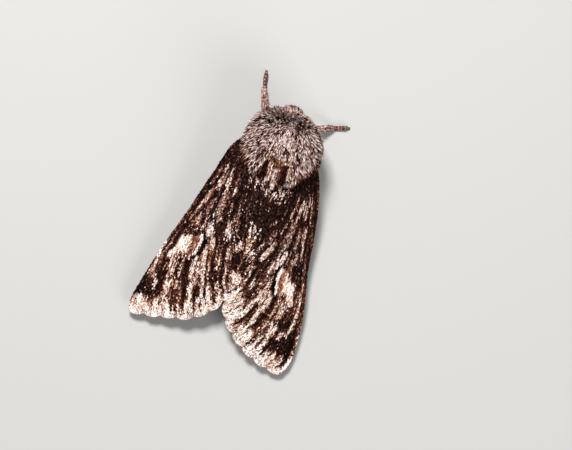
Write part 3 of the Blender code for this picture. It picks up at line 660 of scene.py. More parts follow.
PALE_MARKS = (
    (0.92, 0.2, 0.013, (0.175, 0.14), (0.21, 0.125)),
    (0.70, 0.5, 0.020, (0.22, 0.155), (0.285, 0.165)),
    (0.68, 0.5, 0.014, (0.20, 0.19), (0.27, 0.195)),
    (0.50, 0.7, 0.016, (0.19, 0.08), (0.28, 0.07)),
    (0.98, 0.2, 0.017, (0.185, 0.24), (0.245, 0.265)),
    (0.72, 0.4, 0.017, (0.215, 0.28), (0.30, 0.315)),
    (0.46, 0.7, 0.012, (0.17, 0.37), (0.24, 0.385)),
    (0.74, 0.6, 0.014, (0.245, 0.41), (0.285, 0.425)),
    (0.72, 0.5, 0.018, (0.315, 0.115), (0.40, 0.105), (0.465, 0.085)),
    (0.52, 0.5, 0.012, (0.33, 0.145), (0.39, 0.14)),
    (0.46, 0.4, 0.032, (0.345, 0.215), (0.42, 0.225)),
    (0.72, 0.6, 0.024, (0.45, 0.155), (0.49, 0.17), (0.50, 0.195)),
    (0.68, 0.8, 0.013, (0.445, 0.26), (0.50, 0.27)),
    (0.44, 0.2, 0.045, (0.31, 0.33), (0.38, 0.355), (0.43, 0.40)),
    (0.80, 0.1, 0.014, (0.395, 0.32), (0.42, 0.35), (0.44, 0.39)),
    (0.98, 0.1, 0.030, (0.46, 0.33), (0.49, 0.355), (0.53, 0.405)),
    (0.50, 0.6, 0.012, (0.32, 0.46), (0.37, 0.50)),
    (0.88, 0.4, 0.022, (0.50, 0.41), (0.55, 0.46), (0.60, 0.51)),
    (0.86, 0.4, 0.013, (0.150, 0.56), (0.172, 0.60)),
    (0.88, 0.3, 0.020, (0.118, 0.625), (0.162, 0.70)),
    (0.74, 0.4, 0.011, (0.190, 0.680), (0.208, 0.715)),
    (0.88, 0.4, 0.023, (0.120, 0.71), (0.172, 0.82)),
    (0.94, 0.3, 0.025, (0.112, 0.81), (0.178, 0.93)),
    (0.90, 0.4, 0.017, (0.185, 0.87), (0.206, 0.93)),
    (0.84, 0.5, 0.015, (0.192, 0.955), (0.215, 0.985)),
    (0.66, 0.6, 0.009, (0.270, 0.875), (0.285, 0.90)),
    (0.72, 0.4, 0.012, (0.290, 0.62), (0.300, 0.63)),
    (0.52, 0.4, 0.015, (0.31, 0.675), (0.325, 0.69)),
    (0.68, 0.4, 0.011, (0.345, 0.78), (0.36, 0.79)),
    (0.66, 0.4, 0.012, (0.43, 0.79), (0.445, 0.805)),
    (0.44, 0.3, 0.040, (0.37, 0.59), (0.42, 0.62)),
    (0.86, 0.2, 0.028, (0.425, 0.54), (0.475, 0.59), (0.515, 0.635)),
    (0.44, 0.4, 0.032, (0.44, 0.68), (0.50, 0.72)),
    (0.98, 0.1, 0.016, (0.41, 0.868), (0.45, 0.888), (0.505, 0.935)),
    (0.76, 0.9, 0.028, (0.48, 0.895), (0.56, 0.96)),
    (0.90, 0.4, 0.022, (0.44, 0.955), (0.50, 1.0)),
    (0.70, 0.9, 0.030, (0.54, 0.93), (0.62, 0.985)),
    (0.98, 0.1, 0.021, (0.54, 0.815), (0.565, 0.84), (0.595, 0.87)),
    (0.86, 0.3, 0.018, (0.555, 0.765), (0.60, 0.81)),
    (0.84, 0.4, 0.012, (0.60, 0.86), (0.625, 0.88)),
    (0.70, 0.4, 0.010, (0.575, 0.66), (0.59, 0.70)),
    (0.94, 0.2, 0.013, (0.59, 0.70), (0.645, 0.727)),
    (0.98, 0.2, 0.012, (0.65, 0.635), (0.70, 0.665)),
    (0.76, 0.4, 0.008, (0.665, 0.735), (0.69, 0.75)),
    (0.50, 0.7, 0.010, (0.63, 0.755), (0.67, 0.775)),
    (0.70, 0.7, 0.014, (0.70, 0.765), (0.76, 0.80), (0.83, 0.835)),
    (0.84, 0.3, 0.025, (0.60, 0.43), (0.66, 0.47), (0.70, 0.50), (0.74, 0.53)),
    (0.88, 0.3, 0.029, (0.670, 0.385), (0.70, 0.393), (0.745, 0.412), (0.775, 0.425)),
    (0.70, 0.7, 0.012, (0.66, 0.43), (0.71, 0.455)),
    (0.76, 0.5, 0.016, (0.70, 0.455), (0.77, 0.485)),
    (0.88, 0.3, 0.030, (0.790, 0.460), (0.82, 0.470), (0.87, 0.490)),
    (0.96, 0.3, 0.018, (0.87, 0.49), (0.92, 0.52), (0.96, 0.55)),
    (0.84, 0.3, 0.012, (0.70, 0.52), (0.76, 0.555)),
    (0.98, 0.2, 0.016, (0.76, 0.56), (0.80, 0.582), (0.84, 0.605), (0.90, 0.66), (0.97, 0.73)),
    (0.92, 0.3, 0.010, (0.61, 0.002), (0.66, 0.006), (0.70, 0.018), (0.745, 0.034), (0.78, 0.050)),
    (0.50, 0.7, 0.007, (0.60, 0.046), (0.66, 0.048), (0.71, 0.058)),
    (0.98, 0.3, 0.020, (0.775, 0.045), (0.795, 0.075)),
    (0.76, 0.5, 0.010, (0.795, 0.085), (0.81, 0.12)),
    (0.94, 0.3, 0.014, (0.805, 0.128), (0.838, 0.145)),
    (0.90, 0.3, 0.010, (0.68, 0.140), (0.71, 0.165), (0.745, 0.190)),
    (0.84, 0.3, 0.010, (0.68, 0.170), (0.72, 0.200), (0.775, 0.232)),
    (0.78, 0.4, 0.010, (0.675, 0.205), (0.72, 0.228), (0.76, 0.242)),
    (0.82, 0.4, 0.006, (0.64, 0.262), (0.72, 0.276)),
    (0.72, 0.6, 0.008, (0.71, 0.285), (0.79, 0.312)),
    (0.98, 0.2, 0.015, (0.80, 0.205), (0.835, 0.235), (0.87, 0.265)),
    (0.98, 0.2, 0.016, (0.795, 0.262), (0.83, 0.262), (0.87, 0.285)),
    (0.90, 0.3, 0.012, (0.87, 0.25), (0.94, 0.30)),
    (0.90, 0.3, 0.011, (0.80, 0.325), (0.83, 0.34)),
    (0.86, 0.4, 0.016, (0.91, 0.03), (0.96, 0.06), (1.0, 0.10)),
    (0.78, 0.5, 0.020, (0.91, 0.12), (0.96, 0.13)),
)
KIDNEY_AND_CRESCENT = (
    (0.42, 1.0, 0.036, (0.545, 0.262), (0.58, 0.290), (0.635, 0.285)),
    (0.84, 0.4, 0.046, (0.572, 0.205), (0.635, 0.222)),
    (0.92, 0.3, 0.048, (0.590, 0.150), (0.630, 0.165), (0.652, 0.140)),
    (0.92, 0.3, 0.026, (0.650, 0.118), (0.668, 0.116)),
    (0.00, 0.2, 0.026, (0.515, 0.315), (0.542, 0.365), (0.58, 0.388), (0.635, 0.388), (0.66, 0.360),
     (0.672, 0.330)),
    (0.99, 0.3, 0.020, (0.530, 0.307), (0.555, 0.335), (0.590, 0.350)),
    (0.98, 0.3, 0.018, (0.612, 0.345), (0.640, 0.336), (0.654, 0.324)),
)

# Each table of marks with how fully its marks cover what lies under them.
FOREWING_MARKS = ((BROAD_DARK, 0.90), (DARK_LINES, 0.92), (PALE_MARKS, 0.92), (KIDNEY_AND_CRESCENT, 0.97))
# The wing is about 2.6 times as long as it is wide, so lengths along it count for that much more.
LENGTH_SCALE = 2.6
FOREWING_SEEDS = {"l": 11, "r": 37}
SHADED_TONE = 0.36


def sharpened(value):
    """Noise drawn toward its two ends and set about 0, so that streaks have firm sides."""
    return step_between(value, 0.28, 0.72) - 0.5


def right_wing_place(v, w):
    """The right wing lies a little further round, so its marks sit further from the front."""
    inner = step_between(w, 0.48, 0.72)
    v = v - 0.040 * inner * (1 - step_between(v, 0.70, 0.85))
    w = (w - 0.05) / 0.93 - 0.045 * inner * (1 - step_between(v, 0.60, 0.75))
    return v, w


def forewing_tone(v, w, side):
    """How pale, how warm and how even the forewing is at a place, before its scales' speckle."""
    seed = FOREWING_SEEDS[side]
    if side == "r":
        v, w = right_wing_place(v, w)
    line = vein_line(v, w)
    broad = sharpened(noise(line * 20, v * 4.0, seed=seed))
    streak = sharpened(noise(line * 42, v * 6.0, seed=seed + 1))
    fine = ripple(line * 95, v * 14.0, seed=seed + 2)
    blotch = ripple(v * 16, w * 9, seed=seed + 3)
    comb = 0.022 * streak + 0.022 * fine + 0.014 * broad
    rays = 0.052 * broad + 0.052 * streak + 0.020 * fine
    w = w + 0.012 * ripple(v * 24, w * 14, seed=seed + 4)
    outer = step_between(v, 0.50, 0.62)
    low = step_between(w, 0.42, 0.80)
    # The dark ground, darker toward the root and toward the inner margin.
    tone = 0.17 + 0.12 * outer + 0.14 * blotch
    tone = tone - 0.12 * step_between(w, 0.60, 0.80) * (1 - step_between(v, 0.45, 0.60))
    tone = tone - 0.08 * (1 - step_between(v, 0.08, 0.20))
    tone = tone + (broad * 0.14 + streak * 0.18 + fine * 0.30) * (0.60 + 0.50 * outer)
    warm = 0.45 + 0.45 * outer + 1.3 * ripple(line * 34, v * 6, seed=seed + 5)
    warm = np.where(w < 0.06, 0.9, warm)
    # The pale band along the outer margin, which reaches inward between the veins.
    terminal = step_between(v + rays, 0.915 - 0.130 * low, 0.960 - 0.130 * low)
    pale = 0.86 - 0.07 * low + broad * (0.14 + 0.22 * low) + streak * (0.24 + 0.20 * low) + fine * 0.40
    tone = blend(tone, pale, terminal)
    warm = warm * (1 - 0.60 * terminal)
    calm = 0.85 * (1 - step_between(w, 0.02, 0.07))
    for marks, firmness in FOREWING_MARKS:
        for mark_tone, mark_warm, half, *places in marks:
            ragged = min(1.0, half / 0.016)
            distance = distance_to_line(v + comb * ragged, w, places, LENGTH_SCALE)
            distance = distance + (0.014 * streak + 0.010 * fine) * ragged
            cover = (1 - step_between(distance, half * 0.60, half * 1.20)) * firmness
            own = mark_tone + (0.14 * streak + 0.16 * fine) * (0.30 + mark_tone)
            tone = blend(tone, own, cover)
            warm = blend(warm, mark_warm, cover)
            if marks is KIDNEY_AND_CRESCENT:
                calm = np.maximum(calm, cover)
    return tone, warm, calm


def two_ramps(tone, warm, tones, cool_colours, warm_colours):
    """A colour for each tone from 0 to 1, between a cool ramp and a warm one."""
    tone = np.clip(tone, 0.0, 1.0)
    cool, hot = (
        np.stack([np.interp(tone, tones, channel) for channel in zip(*colours)], -1)
        for colours in (cool_colours, warm_colours)
    )
    return blend(cool, hot, np.clip(warm, 0.0, 1.0)[..., None])


def ramp(tone, warm):
    return two_ramps(tone, warm, RAMP_TONES, RAMP_COOL, RAMP_WARM)


def speckled(tone, warm, calm, spread, rng):
    """A mosaic of plain scales, as on a real wing: the paler the place, the more pale ones in it.
    calm, from 0 to 1, makes the scales of a mark more alike."""
    count = len(tone)
    own = tone + rng.normal(0, spread, count)
    pale = rng.random(count) < 0.02 + 0.80 * np.clip(tone, 0, 1) ** 1.8
    dull = np.where(tone > 0.5, rng.uniform(0.24, 0.56, count), rng.uniform(0.02, 0.34, count))
    bright = rng.uniform(0.64, 1.0, count) - 0.34 * (1 - step_between(tone, 0.10, 0.40))
    strays = rng.random(count) < 0.50 * (1 - calm)
    rusty = strays & ~pale & (tone > 0.25)
    warm = warm + rng.normal(0, 0.22, count) + 0.55 * rusty
    return np.where(strays, np.where(pale, bright, dull), own), warm


def forewing_colour(side):
    """The membrane's colours: the forewing's own above, and nearly even below."""
    def colour_of(v, w, below):
        tone, warm, _ = forewing_tone(v, w, side)
        return ramp(SHADED_TONE + 0.25 * (tone - SHADED_TONE) if below else tone, warm)
    return colour_of


def plain_tone(tone, warm, border):
    """Soft, nearly even colour with veins and a darker border, for a hindwing or an underside."""
    def tone_of(v, w):
        cloud = 0.10 * ripple(v * 12, w * 7, seed=71) + 0.12 * ripple(vein_line(v, w) * 40, v * 6, seed=72)
        dark = border * step_between(v, 0.72, 0.90) + 0.16 * bell(vein_phase(v, w), 0.10)
        return tone + cloud - dark, warm, 0.85
    return tone_of


# ---- Blades: scales and hairs
# Rows of points up a blade, as (share of its length, share of its width). A row of width 0 is a tip.
SCALE_ROWS = ((0.0, 0.40), (0.55, 1.0), (1.0, 0.62))
FRINGE_ROWS = ((0.0, 0.55), (0.30, 0.9), (0.80, 1.0), (1.0, 0.55))
HAIR_ROWS = ((0.0, 0.70), (0.38, 1.0), (0.74, 0.72), (1.0, 0.0))
BAKE_PATCH = 0.003


def blades(root, forward, normal, length, width, lift, curl, rows, rng, twist):
    """Flat blades: their points, how far up its blade each is, and three-cornered faces."""
    count = len(root)
    side = rotated(unit(np.cross(forward, normal)), normal, rng.normal(0, twist, count))
    points, shares, faces = [], [], []
    for share, wide in rows:
        rise = np.sin(lift) * share - curl * share ** 2
        reach = np.cos(lift) * share
        centre = root + forward * (length * reach)[:, None] + normal * (length * rise)[:, None]
        offset = side * (width * wide / 2)[:, None]
        at = len(points)
        if wide > 0:
            points += [centre - offset, centre + offset]
            faces += [(at - 2, at - 1, at + 1), (at - 2, at + 1, at)] if at else []
        else:
            points.append(centre)
            faces.append((at - 2, at - 1, at))
        shares += [share] * (len(points) - at)
    starts = np.arange(count, dtype=np.int32) * len(points)
    faces = np.asarray(faces, np.int32)[None] + starts[:, None, None]
    return np.stack(points, 1), np.asarray(shares), faces.reshape(-1, 3)


def coat_object(name, made, u_root, v_root, colours, material):
    """One mesh of blades. Each has a patch in OFBake, at its root's place on the skin's unwrap."""
    points, shares, faces = made
    side = np.arange(len(shares)) % 2
    u = (0.01 + 0.98 * u_root)[:, None] + (side - 0.5)[None] * BAKE_PATCH
    v = (0.01 + 0.98 * v_root)[:, None] + (shares - 0.5)[None] * BAKE_PATCH
    uv = np.stack([u, v], -1).reshape(-1, 2)
    return make_object(name, points.reshape(-1, 3), faces, material, colours.reshape(-1, 3), uv)


# ---- Scales and fringes of the wings
Scales = namedtuple("Scales", "row_gap gap length width lift speckle grain")
FOREWING_SCALES = Scales(0.085, 0.052, 0.25, 0.110, 0.14, 0.10, 1.9)
FOREWING_UNDERSCALES = Scales(0.16, 0.11, 0.36, 0.16, 0.10, 0.15, 0.0)
HINDWING_SCALES = Scales(0.16, 0.11, 0.34, 0.16, 0.10, 0.08, 0.0)
HINDWING_UNDERSCALES = HINDWING_SCALES._replace(speckle=0.10)
GRAIN_SIZE = 0.095
SCALE_SINK = 0.012
SCALE_CURL = 0.10
SCALE_TWIST = 0.10
FRINGE_CURL = 0.06
FRINGE_TWIST = 0.25
FOREWING_SKIN_GRID = (150, 84)
HINDWING_SKIN_GRID = (100, 56)
FRINGE_WIDTHS = (0.06, 0.10)
# How far an edge's fringe turns away from the wing's length, toward the inner margin.
FRINGE_SPLAY = {"inner": 0.55, "front": -0.25}


def wing_scales(name, sheet, tone_of, scales, seed):
    """Overlapping scales in rows from root to tip, each with one colour of its own."""
    rng = np.random.default_rng(seed)
    wing_length = sheet.span((0.0, FRINGE_START), (0.5, 0.5))
    v_all, w_all = [], []
    for v in np.arange(0.01, FRINGE_START, scales.row_gap / wing_length):
        count = max(4, int(sheet.span((v, v), (0.0, 1.0)) / scales.gap))
        w_all.append((np.arange(count) + 0.5 + rng.uniform(-0.42, 0.42, count)) / count)
        v_all.append(v + rng.uniform(-0.5, 0.5, count) * scales.row_gap / wing_length)
    v, w = np.concatenate(v_all), np.concatenate(w_all)
    count = len(v)
    root = sheet.at(v, w)
    normal = sheet.normal_at(v, w)
    ahead = sheet.at(v + 0.02, w + 0.02 * streak_slope(v, w)) - root
    forward = unit(ahead - normal * np.sum(ahead * normal, -1, keepdims=True))
    forward = rotated(forward, np.cross(normal, forward), rng.normal(0, 0.16, count))
    lengths = scales.length * rng.uniform(0.75, 1.25, count)
    widths = scales.width * rng.uniform(0.75, 1.2, count)
    lifts = scales.lift + rng.normal(0, 0.06, count)
    sunk = root - normal * SCALE_SINK
    made = blades(sunk, forward, normal, lengths, widths, lifts, SCALE_CURL, SCALE_ROWS, rng, SCALE_TWIST)
    tone, warm, calm = tone_of(v, w)
    cluster = ripple(root[:, 0] / GRAIN_SIZE, root[:, 1] / GRAIN_SIZE, seed=seed + 1)
    grain = scales.grain * (1 - 0.6 * step_between(calm, 0.86, 1.0))
    tone = tone + grain * cluster * (0.18 + 0.82 * np.clip(tone, 0, 1))
    tone, warm = speckled(tone, warm, calm, scales.speckle, rng)
    colour = ramp(tone, warm) * rng.uniform(0.85, 1.12, count)[:, None]
    # Painted shade: each scale is darker toward its root, under the scales that overlap it.
    shade = 0.80 + 0.20 * made[1]
    return coat_object(name, made, v, w, colour[:, None] * shade[None, :, None], scale_look)


def fringe(name, sheet, edge, count, length, colour_of, seed):
    """Long narrow scales standing out from a margin, in three overlapping rows."""
    rng = np.random.default_rng(seed)
    place = (np.arange(count) + rng.uniform(0, 1, count)) / count
    row = rng.integers(0, 3, count)
    if edge == "outer":
        v, w = FRINGE_START - 0.002 - 0.006 * row, place
    else:
        v = 0.06 + (FRINGE_START - 0.06) * place
        w = 0.985 - 0.008 * row if edge == "inner" else 0.012 + 0.006 * row
    root = sheet.at(v, w)
    normal = sheet.normal_at(v, w)
    lengthways = unit(sheet.read(sheet.lengthways, v, w))
    if edge == "outer":
        margin = sheet.at(v, np.clip(w + 0.02, 0, 1)) - sheet.at(v, np.clip(w - 0.02, 0, 1))
        out = unit(np.cross(margin, normal))
        forward = unit(out * np.sign(np.sum(out * lengthways, -1, keepdims=True)) + 0.35 * lengthways)
        scallop = 0.58 + 0.46 * np.sin(math.pi * np.clip(vein_phase(v, w), 0, 0.5)) ** 0.7
    else:
        beside = np.minimum(w + 0.01, 1.0)
        across = unit(sheet.at(v, beside) - sheet.at(v, beside - 0.01))
        forward = unit(lengthways + FRINGE_SPLAY[edge] * across)
        scallop = 1.0
    forward = rotated(forward, np.cross(normal, forward), rng.normal(0, 0.09, count))
    lengths = length * scallop * rng.uniform(0.82, 1.08, count) * (1 - 0.10 * row)
    widths = rng.uniform(*FRINGE_WIDTHS, count)
    lifts = 0.04 + rng.normal(0, 0.06, count)
    sunk = root - normal * (0.02 + 0.03 * (2 - row))[:, None]
    made = blades(sunk, forward, normal, lengths, widths, lifts, FRINGE_CURL, FRINGE_ROWS, rng, FRINGE_TWIST)
    colours = np.stack([colour_of(v, w, share, row) for share in made[1]], 1)
    colours = colours * rng.uniform(0.86, 1.10, count)[:, None, None]
    return coat_object(name, made, v, w, colours, scale_look)


def forewing_fringe_colour(v, w, share, row):
    """White with rusty flecks, and a thin tawny edge in the notches between its lobes."""
    notch = bell(vein_phase(v, w), 0.13)
    fleck = step_between(noise(w * 700, 3.0 * row, seed=61), 0.58, 0.72)
    tone = 0.94 + 0.50 * ripple(vein_line(v, w) * 80, 0.0, seed=62) - 0.62 * fleck
    edge = step_between(share, 0.70, 1.0)
    tone = blend(tone, 1.0 - 0.50 * notch, 0.75 * edge)
    return ramp(tone, 0.10 + 0.70 * notch * edge + 0.15 * fleck)


def margin_colour(side):
    """A little paler and warmer than the wing beside it."""
    def colour_of(v, w, share, row):
        tone, warm, _ = forewing_tone(v, w, side)
        return ramp(tone * 0.9 + 0.12 * share, warm + 0.1)
    return colour_of


def pale_fringe_colour(v, w, share, row):
    # Painted shade: each fringe scale is darker toward its root.
    shadow = 0.30 * (1 - step_between(share, 0.25, 0.60))
    return ramp(0.66 - shadow + 0.06 * row + 0.45 * ripple(w * 160, v * 50, seed=73), 0.5)


def build_forewing(side, seed):
    sheet = wing_sheet(forewing_plan(side))
    skin = wing_skin(f"forewing_skin_{side}", sheet, side, forewing_colour(side), *FOREWING_SKIN_GRID)
    add_piece(skin, "wing", f"forewing_{side}")
    colour = margin_colour(side)
    pieces = (
        wing_scales(f"forewing_scales_{side}", sheet, lambda v, w: forewing_tone(v, w, side),
                    FOREWING_SCALES, seed),
        wing_scales(f"forewing_underscales_{side}", underside(sheet), plain_tone(0.42, 0.45, -0.10),
                    FOREWING_UNDERSCALES, seed + 10),
        fringe(f"forewing_fringe_{side}", sheet, "outer", 5200, 0.66, forewing_fringe_colour, seed + 20),
        fringe(f"forewing_inner_fringe_{side}", sheet, "inner", 3000, 0.42, colour, seed + 30),
        fringe(f"forewing_front_fringe_{side}", sheet, "front", 3000, 0.36, colour, seed + 40),
    )
    for piece in pieces:
        add_piece(piece, "wing")


def build_hindwing(side, seed):
    sheet = wing_sheet(hindwing_plan(side))
    tones = plain_tone(0.66, 0.5, 0.22)
    skin = wing_skin(f"hindwing_skin_{side}", sheet, side,
                     lambda v, w, below: ramp(*tones(v, w)[:2]), *HINDWING_SKIN_GRID)
    add_piece(skin, "hindwing", f"hindwing_{side}")
    pieces = (
        wing_scales(f"hindwing_scales_{side}", sheet, tones, HINDWING_SCALES, seed),
        wing_scales(f"hindwing_underscales_{side}", underside(sheet), plain_tone(0.60, 0.5, 0.08),
                    HINDWING_UNDERSCALES, seed + 10),
        fringe(f"hindwing_fringe_{side}", sheet, "outer", 2600, 0.75, pale_fringe_colour, seed + 20),
        fringe(f"hindwing_inner_fringe_{side}", sheet, "inner", 1500, 0.70, pale_fringe_colour, seed + 30),
    )
    for piece in pieces:
        add_piece(piece, "hindwing")


# ---- Rounded forms of the body
THORAX_GRID, THORAX_SHRINK = (90, 121), (0.80, 0.83, 0.79)
HEAD_GRID, HEAD_SHRINK = (40, 61), (0.82, 0.86, 0.82)
ABDOMEN_GRID, ABDOMEN_SHRINK = (70, 91), (0.80, 0.94, 0.76)
LEG_GRID, PALP_GRID = (90, 17), (30, 17)
CLOSING_POWER = 22
ROUNDED_START = 0.06


def signed_power(value, power):
    return np.sign(value) * np.abs(value) ** power


def oval_form(stations, rows, columns, shrink, taper=None):
    """A loft through soft ovals, drawn in toward its middle by shrink = (x, y, z) shares."""
    stations = np.asarray(stations, float)
    middle, half = (stations[0, 0] + stations[-1, 0]) / 2, (stations[-1, 0] - stations[0, 0]) / 2
    y = middle + half * np.sin(np.linspace(-1.0, 1.0, rows) * math.pi / 2)
    wide, height, rise, drop = (smooth_through(stations[:, 0], stations[:, c], y) for c in (1, 2, 3, 4))
    angle = np.linspace(-math.pi, math.pi, columns)
    across = signed_power(np.sin(angle), 2 / SECTION_POWER)
    upward = signed_power(np.cos(angle), 2 / SECTION_POWER)
    drawn = middle + (y - middle) * shrink[1]
    if taper is not None:
        wide, rise = taper(drawn, wide, rise)
    closing = np.sqrt(np.maximum(1 - np.abs((y - middle) / half) ** CLOSING_POWER, 0.004))
    wide, rise, drop = wide * closing, rise * closing, drop * closing
    x = (wide * shrink[0])[:, None] * across[None]
    z = height[:, None] + np.where(upward > 0, rise[:, None], drop[:, None]) * upward[None] * shrink[2]
    points = np.stack([x, np.broadcast_to(drawn[:, None], x.shape), z], -1)
    return Form(points, np.stack([np.zeros(rows), drawn, height], -1))


def tube_form(path, radii, rows, columns, shrink=0.0, least=0.004):
    """A tube along a path, rounded at its start, with its radii drawn in by shrink."""
    fractions = np.linspace(0.0, 1.0, rows)
    centres = along(path, fractions)
    reached = path_lengths(path)
    thick = smooth_through(reached, radii, fractions * reached[-1])
    start = np.clip(fractions / ROUNDED_START, 0.0, 1.0)
    closing = np.sqrt(1.002 - (1 - start) ** 2)
    thick = np.maximum((thick - np.minimum(shrink, 0.28 * thick)) * closing, least)
    ahead = unit(np.gradient(centres, axis=0))
    side = unit(np.cross(ahead, UP))
    up = np.cross(side, ahead)
    angle = np.linspace(-math.pi, math.pi, columns)
    ring = side[:, None] * np.sin(angle)[None, :, None] + up[:, None] * np.cos(angle)[None, :, None]
    return Form(centres[:, None] + ring * thick[:, None, None], centres)


def thorax_taper(y, wide, rise):
    """Behind the shoulders the body is drawn in, under the roots of the wings."""
    rear = step_between(y, -15.6, -12.6)
    return wide * (1 - 0.34 * rear), rise * (1 - 0.06 * rear)


def mirrored(path, side):
    return np.asarray(path) * (SIGN[side], 1.0, 1.0)


def build_forms():
    """The body's forms, each inside its solid by the depth of the coat."""
    forms = {
        "thorax": oval_form(THORAX_STATIONS, *THORAX_GRID, THORAX_SHRINK, thorax_taper),
        "head": oval_form(HEAD_STATIONS, *HEAD_GRID, HEAD_SHRINK),
        "abdomen": oval_form(ABDOMEN_STATIONS, *ABDOMEN_GRID, ABDOMEN_SHRINK),
    }
    for name, leg in LEGS.items():
        path, radii = np.split(np.array(leg), [3], axis=1)
        forms[name] = tube_form(path, radii[:, 0], *LEG_GRID, LEG_COAT, 0.05)
    for side in SIGN:
        path = mirrored(PALP_PATH, side)
        forms["palp_" + side] = tube_form(path, PALP_RADII, *PALP_GRID, PALP_COAT, 0.06)
    return forms


# ---- Markings of the body
FUR_TONES = (0.0, 0.2, 0.4, 0.6, 0.8, 1.0)
FUR_GREY = ((0.003, 0.001, 0.001), (0.030, 0.0108, 0.0095), (0.134, 0.062, 0.059), (0.348, 0.185, 0.175),
            (0.612, 0.404, 0.390), (0.870, 0.732, 0.718))
FUR_RUST = ((0.008, 0.003, 0.002), (0.074, 0.019, 0.008), (0.240, 0.070, 0.028), (0.440, 0.185, 0.090),
            (0.620, 0.420, 0.290), (0.900, 0.790, 0.660))
# Marks of the thorax seen from above, in paint order: (tone, rust, half width, places (x, y)).
THORAX_MARKS = (
    (0.08, 0.6, 0.95, (0.1, -15.2), (0.1, -12.4)),
    (0.36, 0.3, 0.15, (0.92, -20.4), (0.85, -18.9)),
    (0.20, 0.3, 0.20, (-0.90, -20.4), (-0.80, -18.7)),
    (0.92, 0.1, 0.26, (0.75, -20.8), (-0.55, -20.8)),
    (0.98, 0.1, 0.34, (0.05, -20.9), (0.10, -19.2)),
    (1.02, 0.1, 0.30, (0.10, -19.2), (0.65, -17.8)),
    (1.02, 0.1, 0.30, (0.10, -19.2), (-0.25, -17.7)),
    (1.02, 0.1, 0.36, (0.15, -18.6), (0.20, -17.8)),
    (0.10, 0.1, 0.17, (0.95, -17.15), (0.72, -17.10)),
    (0.10, 0.1, 0.17, (-0.35, -17.15), (-0.58, -17.0)),
    (0.56, 0.4, 0.26, (0.20, -17.2), (0.20, -16.7)),
    (0.27, 1.0, 0.40, (1.1, -15.6), (-0.75, -15.6)),
    (0.86, 0.3, 0.13, (0.20, -16.3), (0.20, -16.0)),
    (0.66, 0.9, 0.14, (1.30, -15.7), (1.15, -15.6)),
    (0.68, 0.9, 0.15, (-0.50, -15.9), (-0.65, -15.7)),
    # The next two black marks are painted shadow, in the gaps between the shoulder pads and the crest.
    (0.00, 0.4, 0.40, (1.45, -15.3), (1.35, -13.7)),
    (0.00, 0.4, 0.42, (-0.88, -15.3), (-0.90, -13.5)),
    (0.44, 1.0, 0.28, (0.75, -15.1), (0.60, -13.6)),
    (0.42, 1.0, 0.22, (-0.20, -15.0), (-0.25, -13.4)),
    (0.97, 0.1, 0.22, (0.12, -14.7), (0.00, -13.2)),
    (0.97, 0.1, 0.27, (-0.05, -13.3), (-0.20, -12.0)),
    (0.90, 0.2, 0.13, (0.85, -13.6), (0.80, -12.7)),
    (0.92, 0.2, 0.09, (0.52, -14.3), (0.62, -13.4)),
    (0.62, 0.9, 0.15, (-0.50, -18.6), (-0.75, -17.4), (-1.15, -16.0), (-1.50, -14.4)),
    (0.60, 0.9, 0.15, (1.10, -17.4), (1.15, -16.4), (1.70, -15.4), (2.05, -14.2)),
    (0.90, 0.2, 0.26, (2.50, -13.7), (2.10, -13.3)),
    (0.92, 0.2, 0.24, (-1.55, -13.6), (-1.90, -13.1)),
)
UNDERSIDE_TONE = 0.47
UNDERSIDE_RUST = 0.55
ABDOMEN_RING = 1.25


def pad_reach(x, y):
    """How far a place lies inside the outline of the shoulder pads, which end in a point behind."""
    middle = np.where(x > 0, 2.35, 1.85)
    return -13.2 - 1.65 * np.abs(np.abs(x) - middle) - y


def thorax_tone(x, y, z):
    """How pale and how rusty the thorax is: grey with dark flecks, marks above, browner below."""
    streak = ripple(x * 5.0, y * 2.0, z * 2.0, seed=201)
    dots = noise(x * 6.5, y * 3.6, z * 5.0, seed=202)
    fleck = dots - 0.5
    front = 1 - step_between(y, -21.6, -19.8)
    tone = 0.69 + 0.26 * streak + 0.12 * fleck
    # Painted light: the front of the collar, which slopes down toward the head into shade, is painted paler.
    tone = tone - 0.60 * (1 - step_between(dots, 0.30, 0.47)) + 0.16 * front
    rust = 0.25 + 0.25 * noise(x, y, z, seed=203) + 0.25 * front
    beside = (1 - step_between(pad_reach(x, y), -0.25, 0.25)) * step_between(np.abs(x), 1.0, 1.5)
    beside = beside * step_between(z, 4.0, 5.0)
    tone, rust = blend(tone, 0.25 + 0.50 * streak, beside), blend(rust, 0.6, beside)
    for mark_tone, mark_rust, half, *places in THORAX_MARKS:
        distance = distance_to_line(x, y, places) + 0.16 * streak + 0.10 * fleck
        cover = (1 - step_between(distance, half * 0.5, half * 1.25)) * 0.93 * step_between(z, 5.2, 6.2)
        tone, rust = blend(tone, mark_tone + 0.16 * fleck, cover), blend(rust, mark_rust, cover)
    low = 1 - step_between(z, 3.2, 5.6)
    return blend(tone, UNDERSIDE_TONE + 0.25 * fleck, low), blend(rust, UNDERSIDE_RUST, low)


def abdomen_tone(x, y, z):
    """Brown, with a paler band to each ring of the body and a dark line down the middle."""
    rings = 0.5 + 0.5 * np.cos((y + 11.0) * 2 * math.pi / ABDOMEN_RING)
    tone = 0.50 + 0.16 * (rings - 0.5) + 0.30 * ripple(x * 6, y * 3, z * 6, seed=211)
    tone = tone - 0.22 * bell(x, 0.5) * step_between(z, 3.5, 4.5)
    return tone + 0.10 * step_between(y, -3.2, -2.0), 0.55


def head_tone(x, y, z):
    """Brown, with a pale ridge between the feelers and a dark stripe beside each eye."""
    tone = 0.43 + 0.50 * ripple(x * 7, y * 5, z * 7, seed=221)
    tone = tone + 0.28 * bell(x, 0.35) * step_between(z, 3.6, 4.6) - 0.22 * bell(np.abs(x) - 0.85, 0.25)
    return tone, 0.20 + 0.15 * noise(x * 3, y * 3, z * 3, seed=222)


def crown_tone(x, y, z):
    """The collar's colours, darker."""
    tone, rust = thorax_tone(x, y, z)
    return tone * 0.62, rust * 0.5


def palp_tone(x, y, z):
    return head_tone(x, y, z)[0] * 0.8, 0.3


